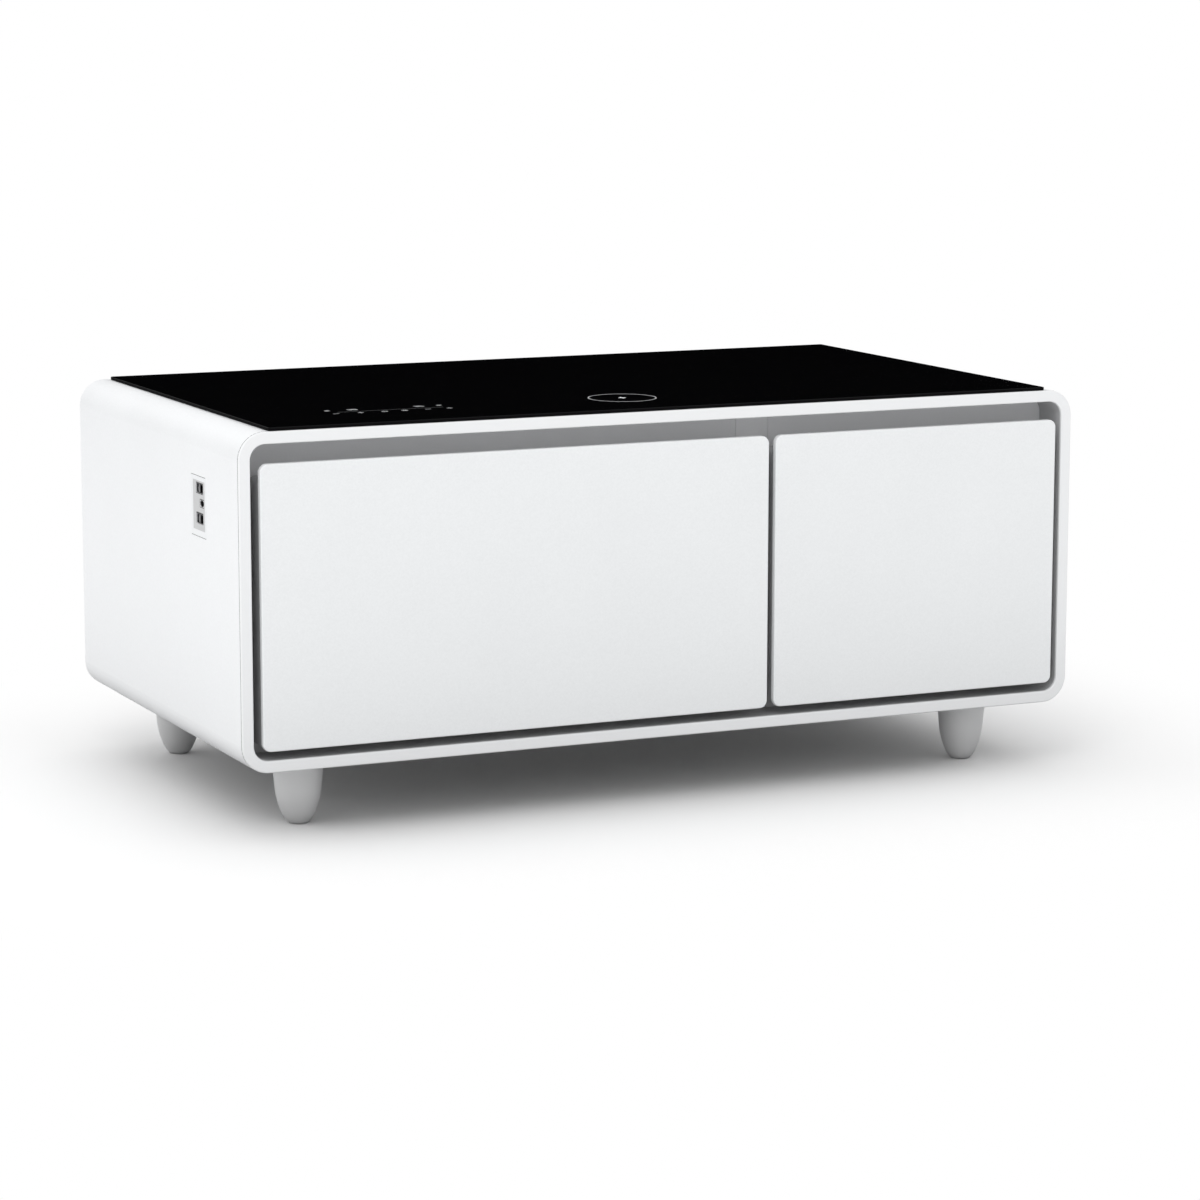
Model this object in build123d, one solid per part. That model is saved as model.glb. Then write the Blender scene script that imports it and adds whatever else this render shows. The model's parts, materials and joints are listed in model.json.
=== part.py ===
from build123d import *
import os
from math import cos, radians, sin

os.makedirs("parts", exist_ok=True)

# A coffee table that is a refrigerator: two cooled drawers under a glass top.
# Millimetres. The drawers face -Y, +X is on the right of someone facing them, and +Z is up.
# The origin is on the floor under the middle of the table.

# Whole table
table_width = 1054.1
table_depth = 584.2
table_height = 462.3

# Gaps
seat_gap = 0.2  # between pieces that sit in one another
close_gap = 0.3  # between a moving piece and what it closes against
shaft_gap = 0.05  # round a turning shaft
seam = 0.6  # between panels that lie side by side

# Cabinet wrap of sheet steel
sheet = 1.2
cabinet_radius = 31.0
cabinet_bottom = 79.1
lip_width = 14.0  # rear flange that takes the back panel
panel_recess = 5.9  # back panel, in from the rear edge

# Glass top, bonded on tape
glass_thickness = 3.7
tape_thickness = 0.3
tape_width = 18.0
glass_side = 36.05  # from the cabinet's side to the glass
glass_front_set = 2.6
glass_rear_set = 10.1
glass_radius = 3.0
glass_chamfer = 0.5

# Front ring and the recess inside it
front_step = 3.5  # drawer fronts stand this far before the ring
ring_face = 3.5
ring_width = 13.6
ring_edge = 1.6
ring_rib = 2.0
ring_skirt_depth = 18.0
recess_depth = 50.0
recess_wall = 2.5
face_plate = 2.5
fascia_sheet = 1.3
divider_cover_width = 41.4

# Drawer fronts
door_side_gap = 9.75
door_bottom_gap = 10.8
finger_gap = 21.5
door_split = 8.7  # between the two fronts
left_door_width = 622.3
pull_depth = 18.0  # the insulated body ends lower by this, which leaves room for fingers
door_radius = 9.0
door_edge = 1.5
pan_depth = 7.0
pan_wall = 1.5
casing_wall = 2.5

# Door seal
gasket_inset = 8.0
gasket_width = 12.0
gasket_height = 8.4
gasket_radius = 14.0
gasket_dart = 3.4
gasket_base = 1.5
gasket_head = 3.5
gasket_neck_set = 2.5
gasket_neck = 4.0
gasket_land = 3.7  # from the seal to the edge of the cold room

# Cold rooms
liner_wall = 2.0
liner_flange = 11.0
room_radius = 16.0
room_rear_radius = 6.0
left_room_depth = 401.6
right_room_depth = 313.6
foam_back = 34.0

# Drawer slides
rail_height = 45.0
rail_thickness = 12.7
rail_sheet = 1.2
outer_rail_depth = 9.0
outer_rail_lip = 4.0
inner_rail_reach = 10.1
ball_diameter = 4.7
ball_gap = 0.15
cage_sheet = 0.8
cage_web = 0.6
cage_side_gap = 0.4
rail_lift = 88.0  # rail centre over the floor of the cold room
rail_front_set = 6.6
rail_back_set = 8.0
left_travel = 260.0
right_travel = 200.0
cage_margin = 4.0
balls_in_row = 6
rail_screw_radius = 1.6
rail_screw_head = 2.8
rail_screw_length = 12.0

# Bins
bin_wall = 2.5
bin_floor_gap = 9.0
bin_height = 205.0
bin_radius = 14.0
bin_foot_radius = 5.0
bin_rim = 8.5
bin_rim_sheet = 2.0
bin_rib = 1.6
bin_rib_width = 4.0
bin_ribs = 6
bin_slot_width = 36.0
bin_slot_height = 6.0
bin_slot_drops = (64.0, 50.0)  # from the rim to the top of each row of slots

# Evaporators
plate_sheet = 1.5
plate_channel = 2.2
plate_standoff = 6.5
plate_radius = 6.0
plate_foot = 4.0
track_width = 8.0
track_rows = 5
left_plate_side = 40.0
right_plate_side = 30.0
plate_end = 24.0
duct_depth = 37.0
cover_sheet = 2.5

# Machine room
bulkhead_sheet = 1.0
back_sheet = 1.2
louvre_rise = 4.0
louvre_height = 9.0
louvre_pitch = 17.0
louvre_width = 78.0

# Feet
leg_side_set = 95.55
leg_front_set = 89.1
leg_rear_set = 71.1
leg_top_radius = 30.2
leg_knee_radius = 26.3
leg_knee_height = 38.0
leg_bend_radius = 24.5
leg_bend_height = 22.0
leg_toe_bend = 16.0
leg_foot_radius = 9.5
glide_radius = 8.0
glide_thickness = 3.0
glide_proud = 0.4
stud_radius = 5.0
stud_depth = 32.0
leg_plate_size = 62.0
leg_plate_sheet = 2.0
leg_plate_radius = 5.0
nut_radius = 9.0
nut_height = 7.0
stud_end = 3.0
leg_pocket_gap = 1.0
leg_pocket_air = 8.0

# Places that follow from the sizes
half_width = table_width / 2
front = -table_depth / 2
rear = table_depth / 2
cabinet_top = table_height - glass_thickness - tape_thickness
ring_front = front + front_step
ring_back = ring_front + ring_face
face_plane = ring_front + recess_depth
door_bottom = cabinet_bottom + ring_width + door_bottom_gap
door_top = cabinet_top - ring_width - finger_gap
body_top = door_top - pull_depth
left_door_edge = -half_width + ring_width + door_side_gap
left_door = (left_door_edge, left_door_edge + left_door_width)
right_door = (left_door[1] + door_split, half_width - ring_width - door_side_gap)
liner_front = face_plane + face_plate
foam_front = liner_front + liner_wall + seat_gap
body_back = face_plane - close_gap - gasket_height
left_room_back = face_plane + left_room_depth
right_room_back = face_plane + right_room_depth
left_foam_rear = left_room_back + liner_wall + foam_back
right_foam_rear = right_room_back + liner_wall + foam_back
room_inset = gasket_inset + gasket_width + gasket_land
left_room = (left_door[0] + room_inset, left_door[1] - room_inset)
right_room = (right_door[0] + room_inset, right_door[1] - room_inset)
room_bottom = door_bottom + room_inset
room_top = body_top - room_inset
foam_step = left_room[1] + liner_wall + foam_back
panel_front = rear - panel_recess - back_sheet
panel_back = panel_front + back_sheet
lip_front = panel_front - sheet
bay_front = right_foam_rear + seat_gap + bulkhead_sheet
bay_left = foam_step + seat_gap + bulkhead_sheet
bay_middle = (bay_front + lip_front) / 2
shallow_bay_front = left_foam_rear + seat_gap + bulkhead_sheet
floor_inside = cabinet_bottom + sheet
ceiling_inside = cabinet_top - sheet
divider_middle = (left_door[1] + right_door[0]) / 2
cover_left = divider_middle - divider_cover_width / 2
cover_right = divider_middle + divider_cover_width / 2
rail_z = room_bottom + rail_lift
rail_front = face_plane + rail_front_set
left_duct_front = left_room_back - duct_depth
left_rail_back = left_duct_front - rail_back_set
right_rail_back = right_room_back - plate_standoff - plate_sheet - plate_channel - 2 * rail_back_set
bin_bottom = room_bottom + bin_floor_gap
bin_top = bin_bottom + bin_height
leg_x = half_width - leg_side_set
leg_front_y = front + leg_front_set
leg_rear_y = rear - leg_rear_set
leg_pocket_half = leg_plate_size / 2 + leg_pocket_gap
leg_pocket_top = floor_inside + leg_plate_sheet + nut_height + leg_pocket_air


def block(x0, x1, y0, y1, z0, z1):
    """Box between two corners."""
    return Pos((x0 + x1) / 2, (y0 + y1) / 2, (z0 + z1) / 2) * Box(x1 - x0, y1 - y0, z1 - z0)


def upright(x0, x1, z0, z1, y0, y1, radius=0.0):
    """Plate that faces the front, with rounded corners seen from there."""
    outline = Rectangle(x1 - x0, z1 - z0)
    if radius > 0:
        outline = RectangleRounded(x1 - x0, z1 - z0, radius)
    return Pos((x0 + x1) / 2, y1, (z0 + z1) / 2) * Rot(90, 0, 0) * extrude(outline, y1 - y0)


def flat(x0, x1, y0, y1, z0, z1, radius):
    """Plate that lies level, with rounded corners seen from above."""
    outline = RectangleRounded(x1 - x0, y1 - y0, radius)
    return Pos((x0 + x1) / 2, (y0 + y1) / 2, z0) * extrude(outline, z1 - z0)


def sideways(x0, x1, y0, y1, z0, z1, radius):
    """Plate that faces the side, with rounded corners seen from there."""
    outline = RectangleRounded(y1 - y0, z1 - z0, radius)
    return Pos(x0, (y0 + y1) / 2, (z0 + z1) / 2) * extrude(Plane.YZ * outline, x1 - x0)


def rod_x(x0, x1, y, z, radius):
    """Round bar along X."""
    return Pos((x0 + x1) / 2, y, z) * Rot(0, 90, 0) * Cylinder(radius, x1 - x0)


def rod_y(x, y0, y1, z, radius):
    """Round bar along Y."""
    return Pos(x, (y0 + y1) / 2, z) * Rot(90, 0, 0) * Cylinder(radius, y1 - y0)


def rod_z(x, y, z0, z1, radius):
    """Round bar along Z."""
    return Pos(x, y, (z0 + z1) / 2) * Cylinder(radius, z1 - z0)


def cabinet_outline(inset, y0, y1):
    """The cabinet's rounded section, drawn in by an inset."""
    x = half_width - inset
    return upright(-x, x, cabinet_bottom + inset, cabinet_top - inset, y0, y1, cabinet_radius - inset)


def frame_ring(box, radius, outer, inner, y0, y1):
    """Band round a rectangle, between two insets from it."""
    x0, x1, z0, z1 = box
    band = upright(x0 + outer, x1 - outer, z0 + outer, z1 - outer, y0, y1, radius - outer)
    return band - upright(x0 + inner, x1 - inner, z0 + inner, z1 - inner, y0, y1, radius - inner)


def save(name, *pieces):
    """Write one sub-part, whose pieces are separate solids."""
    solids = [solid for piece in pieces for solid in piece.solids()]
    export_step(Compound(solids), f"parts/{name}.step")


# Cabinet wrap, with windows for the boards and the sockets

touch_left = -half_width + 129.05
touch_front = front + 78.1
touch_width = 179.0
touch_depth = 68.0
touch_window = (touch_left, touch_left + touch_width, touch_front, touch_front + touch_depth)
coil_centre = (-17.4, front + 110.8)
coil_window = 31.0
window_radius = 4.0
board_pocket = 14.0
socket_width = 49.5
socket_height = 68.3
socket_front = front + 114.1
socket_top = cabinet_top - 63.2
socket_plate_y = (socket_front, socket_front + socket_width)
socket_plate_z = (socket_top - socket_height, socket_top)
socket_gap = 0.35
socket_radius = 3.0
air_slot_width = 5.0
air_slot_length = 90.0
air_slot_pitch = 11.0
air_slots = 9
air_slot_set = 25.0
leg_places = [(-leg_x, leg_front_y), (leg_x, leg_front_y), (-leg_x, leg_rear_y), (leg_x, leg_rear_y)]
screw_inset = lip_width / 2 + sheet
panel_screw_radius = 2.0
panel_screw_head = 4.0
panel_screw_height = 2.0
panel_screw_length = 9.0


def panel_screw_places():
    """Screw places along the rear flange."""
    x_far = half_width - screw_inset
    z_low = cabinet_bottom + screw_inset
    z_high = cabinet_top - screw_inset
    along = [x_far * share for share in (-0.86, -0.43, 0.0, 0.43, 0.86)]
    middle = (z_low + z_high) / 2
    return [(x, z) for x in along for z in (z_low, z_high)] + [(-x_far, middle), (x_far, middle)]


def make_outer_shell():
    shell = cabinet_outline(0, ring_back, rear) - cabinet_outline(sheet, ring_back, rear)
    lip = cabinet_outline(sheet / 2, lip_front, panel_front)
    shell += lip - cabinet_outline(sheet + lip_width, lip_front, panel_front)
    x0, x1, y0, y1 = touch_window
    shell -= flat(x0, x1, y0, y1, ceiling_inside - sheet, cabinet_top + sheet, window_radius)
    x, y = coil_centre
    reach = coil_window
    shell -= flat(x - reach, x + reach, y - reach, y + reach, ceiling_inside - sheet, cabinet_top + sheet, window_radius)
    shell -= sideways(
        -half_width - sheet,
        -half_width + 2 * sheet,
        socket_plate_y[0] - socket_gap,
        socket_plate_y[1] + socket_gap,
        socket_plate_z[0] - socket_gap,
        socket_plate_z[1] + socket_gap,
        socket_radius + socket_gap,
    )
    shell -= [rod_z(x, y, cabinet_bottom - sheet, floor_inside + sheet, stud_radius + seat_gap) for x, y in leg_places]
    shell -= [rod_y(x, lip_front - sheet, panel_front, z, panel_screw_radius) for x, z in panel_screw_places()]
    for i in range(air_slots):
        x = bay_left + air_slot_set + i * air_slot_pitch
        shell -= flat(x, x + air_slot_width, bay_middle - air_slot_length / 2, bay_middle + air_slot_length / 2,
                      cabinet_bottom - sheet, floor_inside + sheet, air_slot_width * 0.49)
    return shell


def leg_pockets(wall):
    """Leave room in a wall over the feet's plates and nuts."""
    half = leg_pocket_half
    for x, y in leg_places:
        wall -= block(x - half, x + half, y - half, y + half, 0, leg_pocket_top)
    return wall


def make_front_frame():
    face = cabinet_outline(0, ring_front, ring_back) - cabinet_outline(ring_width, ring_front, ring_back)
    face = fillet(face.edges().group_by(Axis.Y)[0], ring_edge)
    outer = sheet + seat_gap
    inner = ring_width - recess_wall - seat_gap
    skirt_end = ring_front + ring_skirt_depth
    skirt = cabinet_outline(outer, ring_back, skirt_end) - cabinet_outline(outer + ring_rib, ring_back, skirt_end)
    inner_end = ring_front + ring_skirt_depth / 2
    wall = cabinet_outline(inner - ring_rib, ring_back, inner_end) - cabinet_outline(inner, ring_back, inner_end)
    ribs = []
    for i in range(-4, 5):
        x = i * half_width * 0.22
        for z in (cabinet_bottom + outer + ring_rib, cabinet_top - inner + ring_rib):
            ribs.append(block(x - ring_rib / 2, x + ring_rib / 2, ring_back, inner_end,
                              z - ring_rib / 2, z + inner - outer - 1.5 * ring_rib))
    return face + skirt + wall + ribs


def panel_zone(inset, y0, y1):
    """Where the grey panels lie: over the cold rooms and down the divider."""
    whole = cabinet_outline(ring_width + inset, y0, y1)
    over = block(-half_width, half_width, y0, y1, room_top + inset, cabinet_top)
    return whole, over


def make_recess_surround():
    inset = ring_width - recess_wall
    walls = cabinet_outline(inset, ring_back, liner_front) - cabinet_outline(ring_width, ring_back, liner_front)
    plate = cabinet_outline(inset, face_plane, liner_front)
    for x0, x1 in (left_room, right_room):
        plate -= upright(x0, x1, room_bottom, room_top, face_plane, liner_front, room_radius)
    pocket_floor = face_plane + fascia_sheet
    whole, over = panel_zone(0, face_plane, pocket_floor)
    plate -= whole & over
    plate -= whole & block(cover_left - seam, cover_right + seam, face_plane, pocket_floor, 0, cabinet_top)
    return walls + plate


def make_fascia_panels():
    whole, over = panel_zone(seat_gap, face_plane, face_plane + fascia_sheet)
    left = whole & over & block(-half_width, cover_left - seam, front, rear, 0, table_height)
    right = whole & over & block(cover_right + seam, half_width, front, rear, 0, table_height)
    return left, right


def make_divider_cover():
    whole, _ = panel_zone(seat_gap, face_plane, face_plane + fascia_sheet)
    return whole & block(cover_left, cover_right, front, rear, 0, table_height)


# Cold rooms


def make_liner(room, room_back):
    x0, x1 = room
    wall = liner_wall
    flange = upright(x0 - liner_flange, x1 + liner_flange, room_bottom - liner_flange, room_top + liner_flange,
                     liner_front, liner_front + wall, room_radius)
    tub = upright(x0 - wall, x1 + wall, room_bottom - wall, room_top + wall,
                  liner_front, room_back + wall, room_radius + wall)
    tub = fillet(tub.edges().group_by(Axis.Y)[-1], room_rear_radius + wall)
    hollow = upright(x0, x1, room_bottom, room_top, liner_front, room_back, room_radius)
    hollow = fillet(hollow.edges().group_by(Axis.Y)[-1], room_rear_radius)
    return flange + tub - hollow


def make_foam():
    foam = cabinet_outline(sheet + seat_gap, foam_front, left_foam_rear)
    foam -= block(foam_step, half_width, right_foam_rear, left_foam_rear + 1, 0, table_height)
    gap = liner_wall + seat_gap
    for (x0, x1), room_back in ((left_room, left_room_back), (right_room, right_room_back)):
        foam -= upright(x0 - gap, x1 + gap, room_bottom - gap, room_top + gap,
                        foam_front, room_back + gap, room_radius + gap)
    x0, x1, y0, y1 = touch_window
    foam -= block(x0, x1, y0, y1, cabinet_top - board_pocket, cabinet_top)
    x, y = coil_centre
    foam -= block(x - coil_window, x + coil_window, y - coil_window, y + coil_window,
                  cabinet_top - board_pocket, cabinet_top)
    around = 1.0
    foam -= block(-half_width, socket_back + around, socket_plate_y[0] - around, socket_plate_y[1] + around,
                  socket_plate_z[0] - around, socket_plate_z[1] + around)
    for cutter in screw_cuts:
        foam -= cutter
    return leg_pockets(foam)


# Drawers


def make_door_front(door):
    x0, x1 = door
    pan = upright(x0, x1, door_bottom, door_top, front, front + pan_depth, door_radius)
    pan = fillet(pan.edges().group_by(Axis.Y)[0], door_edge)
    wall = pan_wall
    return pan - upright(x0 + wall, x1 - wall, door_bottom + wall, door_top - wall,
                         front + wall, front + pan_depth, door_radius - wall)


def seal_box(door):
    """Outer edge of the seal: low and high X, then low and high Z."""
    x0, x1 = door
    return (x0 + gasket_inset, x1 - gasket_inset, door_bottom + gasket_inset, body_top - gasket_inset)


def make_door_body(door):
    x0, x1 = door
    inset = pan_wall + seat_gap
    radius = door_radius - inset
    casing_front = front + pan_wall + seat_gap
    low = door_bottom + inset
    casing = upright(x0 + inset, x1 - inset, low, body_top, casing_front, body_back, radius)
    wall = casing_wall
    casing -= upright(x0 + inset + wall, x1 - inset - wall, low + wall, body_top - wall,
                      casing_front, body_back - wall - gasket_dart, radius - wall)
    middle = (gasket_width - gasket_dart) / 2
    groove_front = body_back - gasket_dart
    return casing - frame_ring(seal_box(door), gasket_radius, middle - seat_gap,
                               middle + gasket_dart + seat_gap, groove_front, body_back)


def make_door_foam(door):
    x0, x1 = door
    inset = pan_wall + casing_wall + 2 * seat_gap
    return upright(x0 + inset, x1 - inset, door_bottom + inset, body_top - casing_wall - seat_gap,
                   front + pan_wall + seat_gap, body_back - casing_wall - gasket_dart - seat_gap,
                   door_radius - inset)


def make_gasket(door):
    box = seal_box(door)
    middle = (gasket_width - gasket_dart) / 2
    base_end = body_back + gasket_base
    head_front = body_back + gasket_height - gasket_head
    dart = frame_ring(box, gasket_radius, middle, middle + gasket_dart, body_back - gasket_dart + seat_gap, body_back)
    base = frame_ring(box, gasket_radius, 0, gasket_width, body_back, base_end)
    neck = frame_ring(box, gasket_radius, gasket_neck_set, gasket_neck_set + gasket_neck, base_end, head_front)
    head = frame_ring(box, gasket_radius, 0, gasket_width, head_front, body_back + gasket_height)
    return dart + base + neck + head


def make_bin(room, back):
    x0 = room[0] + rail_thickness
    x1 = room[1] - rail_thickness
    wall = bin_wall
    outer = flat(x0, x1, body_back, back, bin_bottom, bin_top, bin_radius)
    outer = fillet(outer.edges().group_by(Axis.Z)[0], bin_foot_radius)
    rim = flat(x0 - bin_rim, x1 + bin_rim, body_back, back, bin_top - bin_rim_sheet, bin_top, bin_radius)
    hollow = flat(x0 + wall, x1 - wall, body_back + wall, back - wall, bin_bottom + wall, bin_top, bin_radius - wall)
    tray = outer + rim - hollow
    pitch = (x1 - x0) / bin_ribs
    half = bin_slot_width / 2
    for i in range(bin_ribs):
        x = x0 + (i + 0.5) * pitch
        tray += block(x - bin_rib_width / 2, x + bin_rib_width / 2, body_back + 4 * bin_radius,
                      back - 2 * bin_radius, bin_bottom + wall / 2, bin_bottom + wall + bin_rib)
        for drop in bin_slot_drops:
            z = bin_top - drop
            tray -= upright(x - half, x + half, z - bin_slot_height, z, back - 2 * wall, back + wall,
                            bin_slot_height * 0.48)
    return tray


# Ball slides: an outer member on the wall, balls in a cage, and an inner member on the bin


def channel(depth, half_height, lip):
    """Section of a rolled channel whose back is on X = 0 and whose lips turn in."""
    t = rail_sheet
    upper = [(0, half_height), (depth, half_height), (depth, half_height - lip), (depth - t, half_height - lip),
             (depth - t, half_height - t), (t, half_height - t)]
    lower = [(x, -z) for x, z in reversed(upper)]
    return Polygon(*upper, *lower, align=None)


def along_slide(section, y0, y1):
    """Section in X and Z, carried along Y."""
    return Pos(0, y1, 0) * Rot(90, 0, 0) * extrude(section, y1 - y0, dir=(0, 0, 1))


race_inside = rail_height / 2 - rail_sheet
race_outside = race_inside - ball_diameter - 2 * ball_gap
ball_x = outer_rail_depth / 2
ball_z = (race_inside + race_outside) / 2


def outer_rail(back):
    section = channel(outer_rail_depth, rail_height / 2, outer_rail_lip)
    return along_slide(section, rail_front, back)


def inner_rail(back):
    section = channel(inner_rail_reach, race_outside, rail_sheet)
    return Pos(rail_thickness, 0, 0) * mirror(along_slide(section, rail_front, back), Plane.YZ)


def ball_cage(back, travel):
    """Cage and balls, placed so that they stay between both members over the travel."""
    y0 = rail_front + cage_margin + travel / 2
    y1 = back - cage_margin - travel / 2
    web_x = rail_sheet + cage_side_gap
    flange_end = outer_rail_depth - rail_sheet - close_gap
    cage = block(web_x, web_x + cage_web, y0, y1, -ball_z - cage_sheet / 2, ball_z + cage_sheet / 2)
    for z in (-ball_z, ball_z):
        cage += block(web_x, flange_end, y0, y1, z - cage_sheet / 2, z + cage_sheet / 2)
    pitch = (y1 - y0) / balls_in_row
    places = [(y0 + (i + 0.5) * pitch, z) for i in range(balls_in_row) for z in (-ball_z, ball_z)]
    balls = [Pos(ball_x, y, z) * Sphere(ball_diameter / 2) for y, z in places]
    for y, z in places:
        cage -= rod_z(ball_x, y, z - cage_sheet, z + cage_sheet, ball_diameter / 2 + shaft_gap)
    return [cage] + balls


def both_walls(room, pieces):
    """Set pieces made for a wall at X = 0 on both side walls of a cold room."""
    left = [Pos(room[0], 0, rail_z) * piece for piece in pieces]
    right = [Pos(room[1], 0, rail_z) * mirror(piece, Plane.YZ) for piece in pieces]
    return left + right


def rail_screw(y, gap):
    """Countersunk screw through the outer member, with an optional gap round it."""
    radius = rail_screw_radius + gap
    head = rail_screw_head + gap
    depth = rail_sheet
    shank = rod_x(-rail_screw_length, depth, y, 0, radius)
    cone = Pos(depth / 2, y, 0) * Rot(0, 90, 0) * Cone(radius, head, depth)
    return shank + cone


def rail_screws(gap):
    places = []
    for room, back in ((left_room, left_rail_back), (right_room, right_rail_back)):
        length = back - rail_front
        screws = [rail_screw(rail_front + length * share, gap) for share in (0.06, 0.5, 0.94)]
        places += both_walls(room, screws)
    return places


# Cold plates


def cold_plate(room, side, room_back):
    """Pressed aluminium plate with a winding channel, standing off the back wall."""
    x0 = room[0] + side
    x1 = room[1] - side
    z0 = room_bottom + plate_end
    z1 = room_top - plate_end
    y = room_back - plate_standoff
    plate = upright(x0, x1, z0, z1, y - plate_sheet, y, plate_radius)
    rows = track_rows
    margin = 2.5 * track_width
    pitch = (z1 - z0 - 2 * margin) / (rows - 1)
    turn = pitch / 2
    run = (x1 - x0) / 2 - margin - turn
    middle = (x0 + x1) / 2
    path = []
    for i in range(rows):
        z = -(rows - 1) * pitch / 2 + i * pitch
        side = 1 if i % 2 == 0 else -1
        path.append(Line((-side * run, z), (side * run, z)))
        if i < rows - 1:
            path.append(ThreePointArc((side * run, z), (side * (run + turn), z + turn), (side * run, z + pitch)))
    track = trace(Curve() + path, track_width)
    ridge = Pos(middle, y - plate_sheet, (z0 + z1) / 2) * Rot(90, 0, 0) * extrude(track, plate_channel)
    inset = 2 * plate_foot
    corners = [(x, z) for x in (x0 + inset, x1 - inset) for z in (z0 + inset, z1 - inset)]
    return plate + ridge + [rod_y(x, y, room_back - seat_gap, z, plate_foot) for x, z in corners]


evap_fan_radius = 40.0
evap_fan_hub = 15.0
evap_throat = 43.0
evap_motor_radius = 13.0
evap_motor_length = 12.0
evap_shaft = 1.5
evap_fan_length = 8.0
evap_wall = 2.0
evap_collar = 16.0
evap_gap = 1.0
evap_hoops = (20.0, 27.5, 35.0)
evap_hoop_width = 1.5
evap_slots = 9
evap_slot_height = 6.0
evap_slot_margin = 30.0
evap_slot_inset = 16.0
evap_fan_x = (left_room[0] + left_room[1]) / 2
evap_fan_z = (room_bottom + room_top) / 2


def make_evaporator_cover():
    """Moulded cover over the left cold plate, with a fan guard and air slots."""
    x0, x1 = left_room
    gap = evap_gap
    y0 = left_duct_front
    y1 = y0 + cover_sheet
    wall = evap_wall
    box = (x0 + gap, x1 - gap, room_bottom + gap, room_top - gap)
    radius = room_radius - gap
    cover = upright(*box, y0, y1, radius)
    cover += frame_ring(box, radius, 0, wall, y1, left_room_back - room_rear_radius - gap)
    collar_end = y1 + evap_collar
    cover += rod_y(evap_fan_x, y0, collar_end, evap_fan_z, evap_throat + wall)
    cover -= rod_y(evap_fan_x, y0, collar_end, evap_fan_z, evap_throat)
    guard = [rod_y(evap_fan_x, y0, y1, evap_fan_z, evap_motor_radius + wall)]
    half = evap_hoop_width
    for inner in evap_hoops:
        hoop = rod_y(evap_fan_x, y0, y1, evap_fan_z, inner + evap_hoop_width)
        guard.append(hoop - rod_y(evap_fan_x, y0, y1, evap_fan_z, inner))
    for angle in (0, 60, 120):
        bar = block(-evap_throat - half, evap_throat + half, y0, y1, -half, half)
        guard.append(Pos(evap_fan_x, 0, evap_fan_z) * Rot(0, angle, 0) * bar)
    cover += guard
    pitch = (x1 - x0 - 2 * evap_slot_margin) / evap_slots
    reach = pitch * 0.36
    for i in range(evap_slots):
        x = x0 + evap_slot_margin + (i + 0.5) * pitch
        for z in (room_bottom + evap_slot_inset, room_top - evap_slot_inset):
            cover -= upright(x - reach, x + reach, z - evap_slot_height / 2, z + evap_slot_height / 2,
                             y0, y1, evap_slot_height * 0.48)
    return cover


def make_rotor(hub, length, tip, blades, chords, pitches, shaft, shaft_length):
    """Axial fan round the X axis, from X = 0, with its shaft behind it."""
    body = rod_x(0, length, 0, 0, hub)
    body = fillet(body.edges().group_by(Axis.X)[-1], hub * 0.2)
    body -= rod_x(0, length * 0.6, 0, 0, hub - 2)
    body += rod_x(0, length * 0.8, 0, 0, shaft + 2.5)
    sections = []
    for radius, chord, pitch in zip((hub - 1.0, tip + 4.0), chords, pitches):
        across = Plane(origin=(length / 2, 0, radius), x_dir=(sin(radians(pitch)), cos(radians(pitch)), 0),
                       z_dir=(0, 0, 1))
        sections.append(across * Rectangle(chord, 1.6))
    blade = loft(sections) & rod_x(-length, 2 * length, 0, 0, tip)
    body += [Rot(i * 360 / blades, 0, 0) * blade for i in range(blades)]
    return body + rod_x(-shaft_length, length * 0.5, 0, 0, shaft)


evap_motor_front = left_duct_front + cover_sheet
evap_motor_back = evap_motor_front + evap_motor_length
motor_cap = 4.0  # closed end of a motor, beyond its shaft


def make_evaporator_motor():
    motor = rod_y(evap_fan_x, evap_motor_front, evap_motor_back, evap_fan_z, evap_motor_radius)
    motor = fillet(motor.edges().group_by(Axis.Y)[0], 1.0)
    bore_front = evap_motor_front + motor_cap - 1
    return motor - rod_y(evap_fan_x, bore_front, evap_motor_back, evap_fan_z, evap_shaft + shaft_gap)


def make_evaporator_fan():
    rotor = make_rotor(evap_fan_hub, evap_fan_length, evap_fan_radius, 5, (13.0, 22.0), (34, 20),
                       evap_shaft, evap_motor_length - motor_cap)
    return Pos(evap_fan_x, evap_motor_back + seam, evap_fan_z) * Rot(0, 0, 90) * rotor


# Machine room

bay_clear = 3.0
core_x = bay_left + 16.0
core_depth = 16.0
core_height = 220.0
core_bottom = floor_inside + 31.7
core_top = core_bottom + core_height
header_radius = 7.0
header_end = 8.0
header_left = bay_front + bay_clear + header_radius
header_right = lip_front - bay_clear - header_radius
header_bottom = core_bottom - header_end
header_top = core_top + header_end
flat_tubes = 9
flat_tube_height = 2.4
flat_tube_set = 3.0
fold_count = 15
fin = 0.8
fin_joint = 0.4
hood_front = core_x + core_depth / 2 + close_gap
hood_depth = 26.0
hood_wall = 2.5
fan_plate_front = hood_front + hood_depth
throat_radius = 66.0
throat_depth = 14.0
fan_tip_radius = 62.5
fan_hub_radius = 20.0
fan_hub_length = 16.0
fan_shaft_radius = 2.5
fan_motor_radius = 19.0
fan_motor_length = 18.0
fan_z = (core_bottom + core_top) / 2
arm = 4.0
arm_width = 7.0
shroud_foot = 14.0


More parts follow.
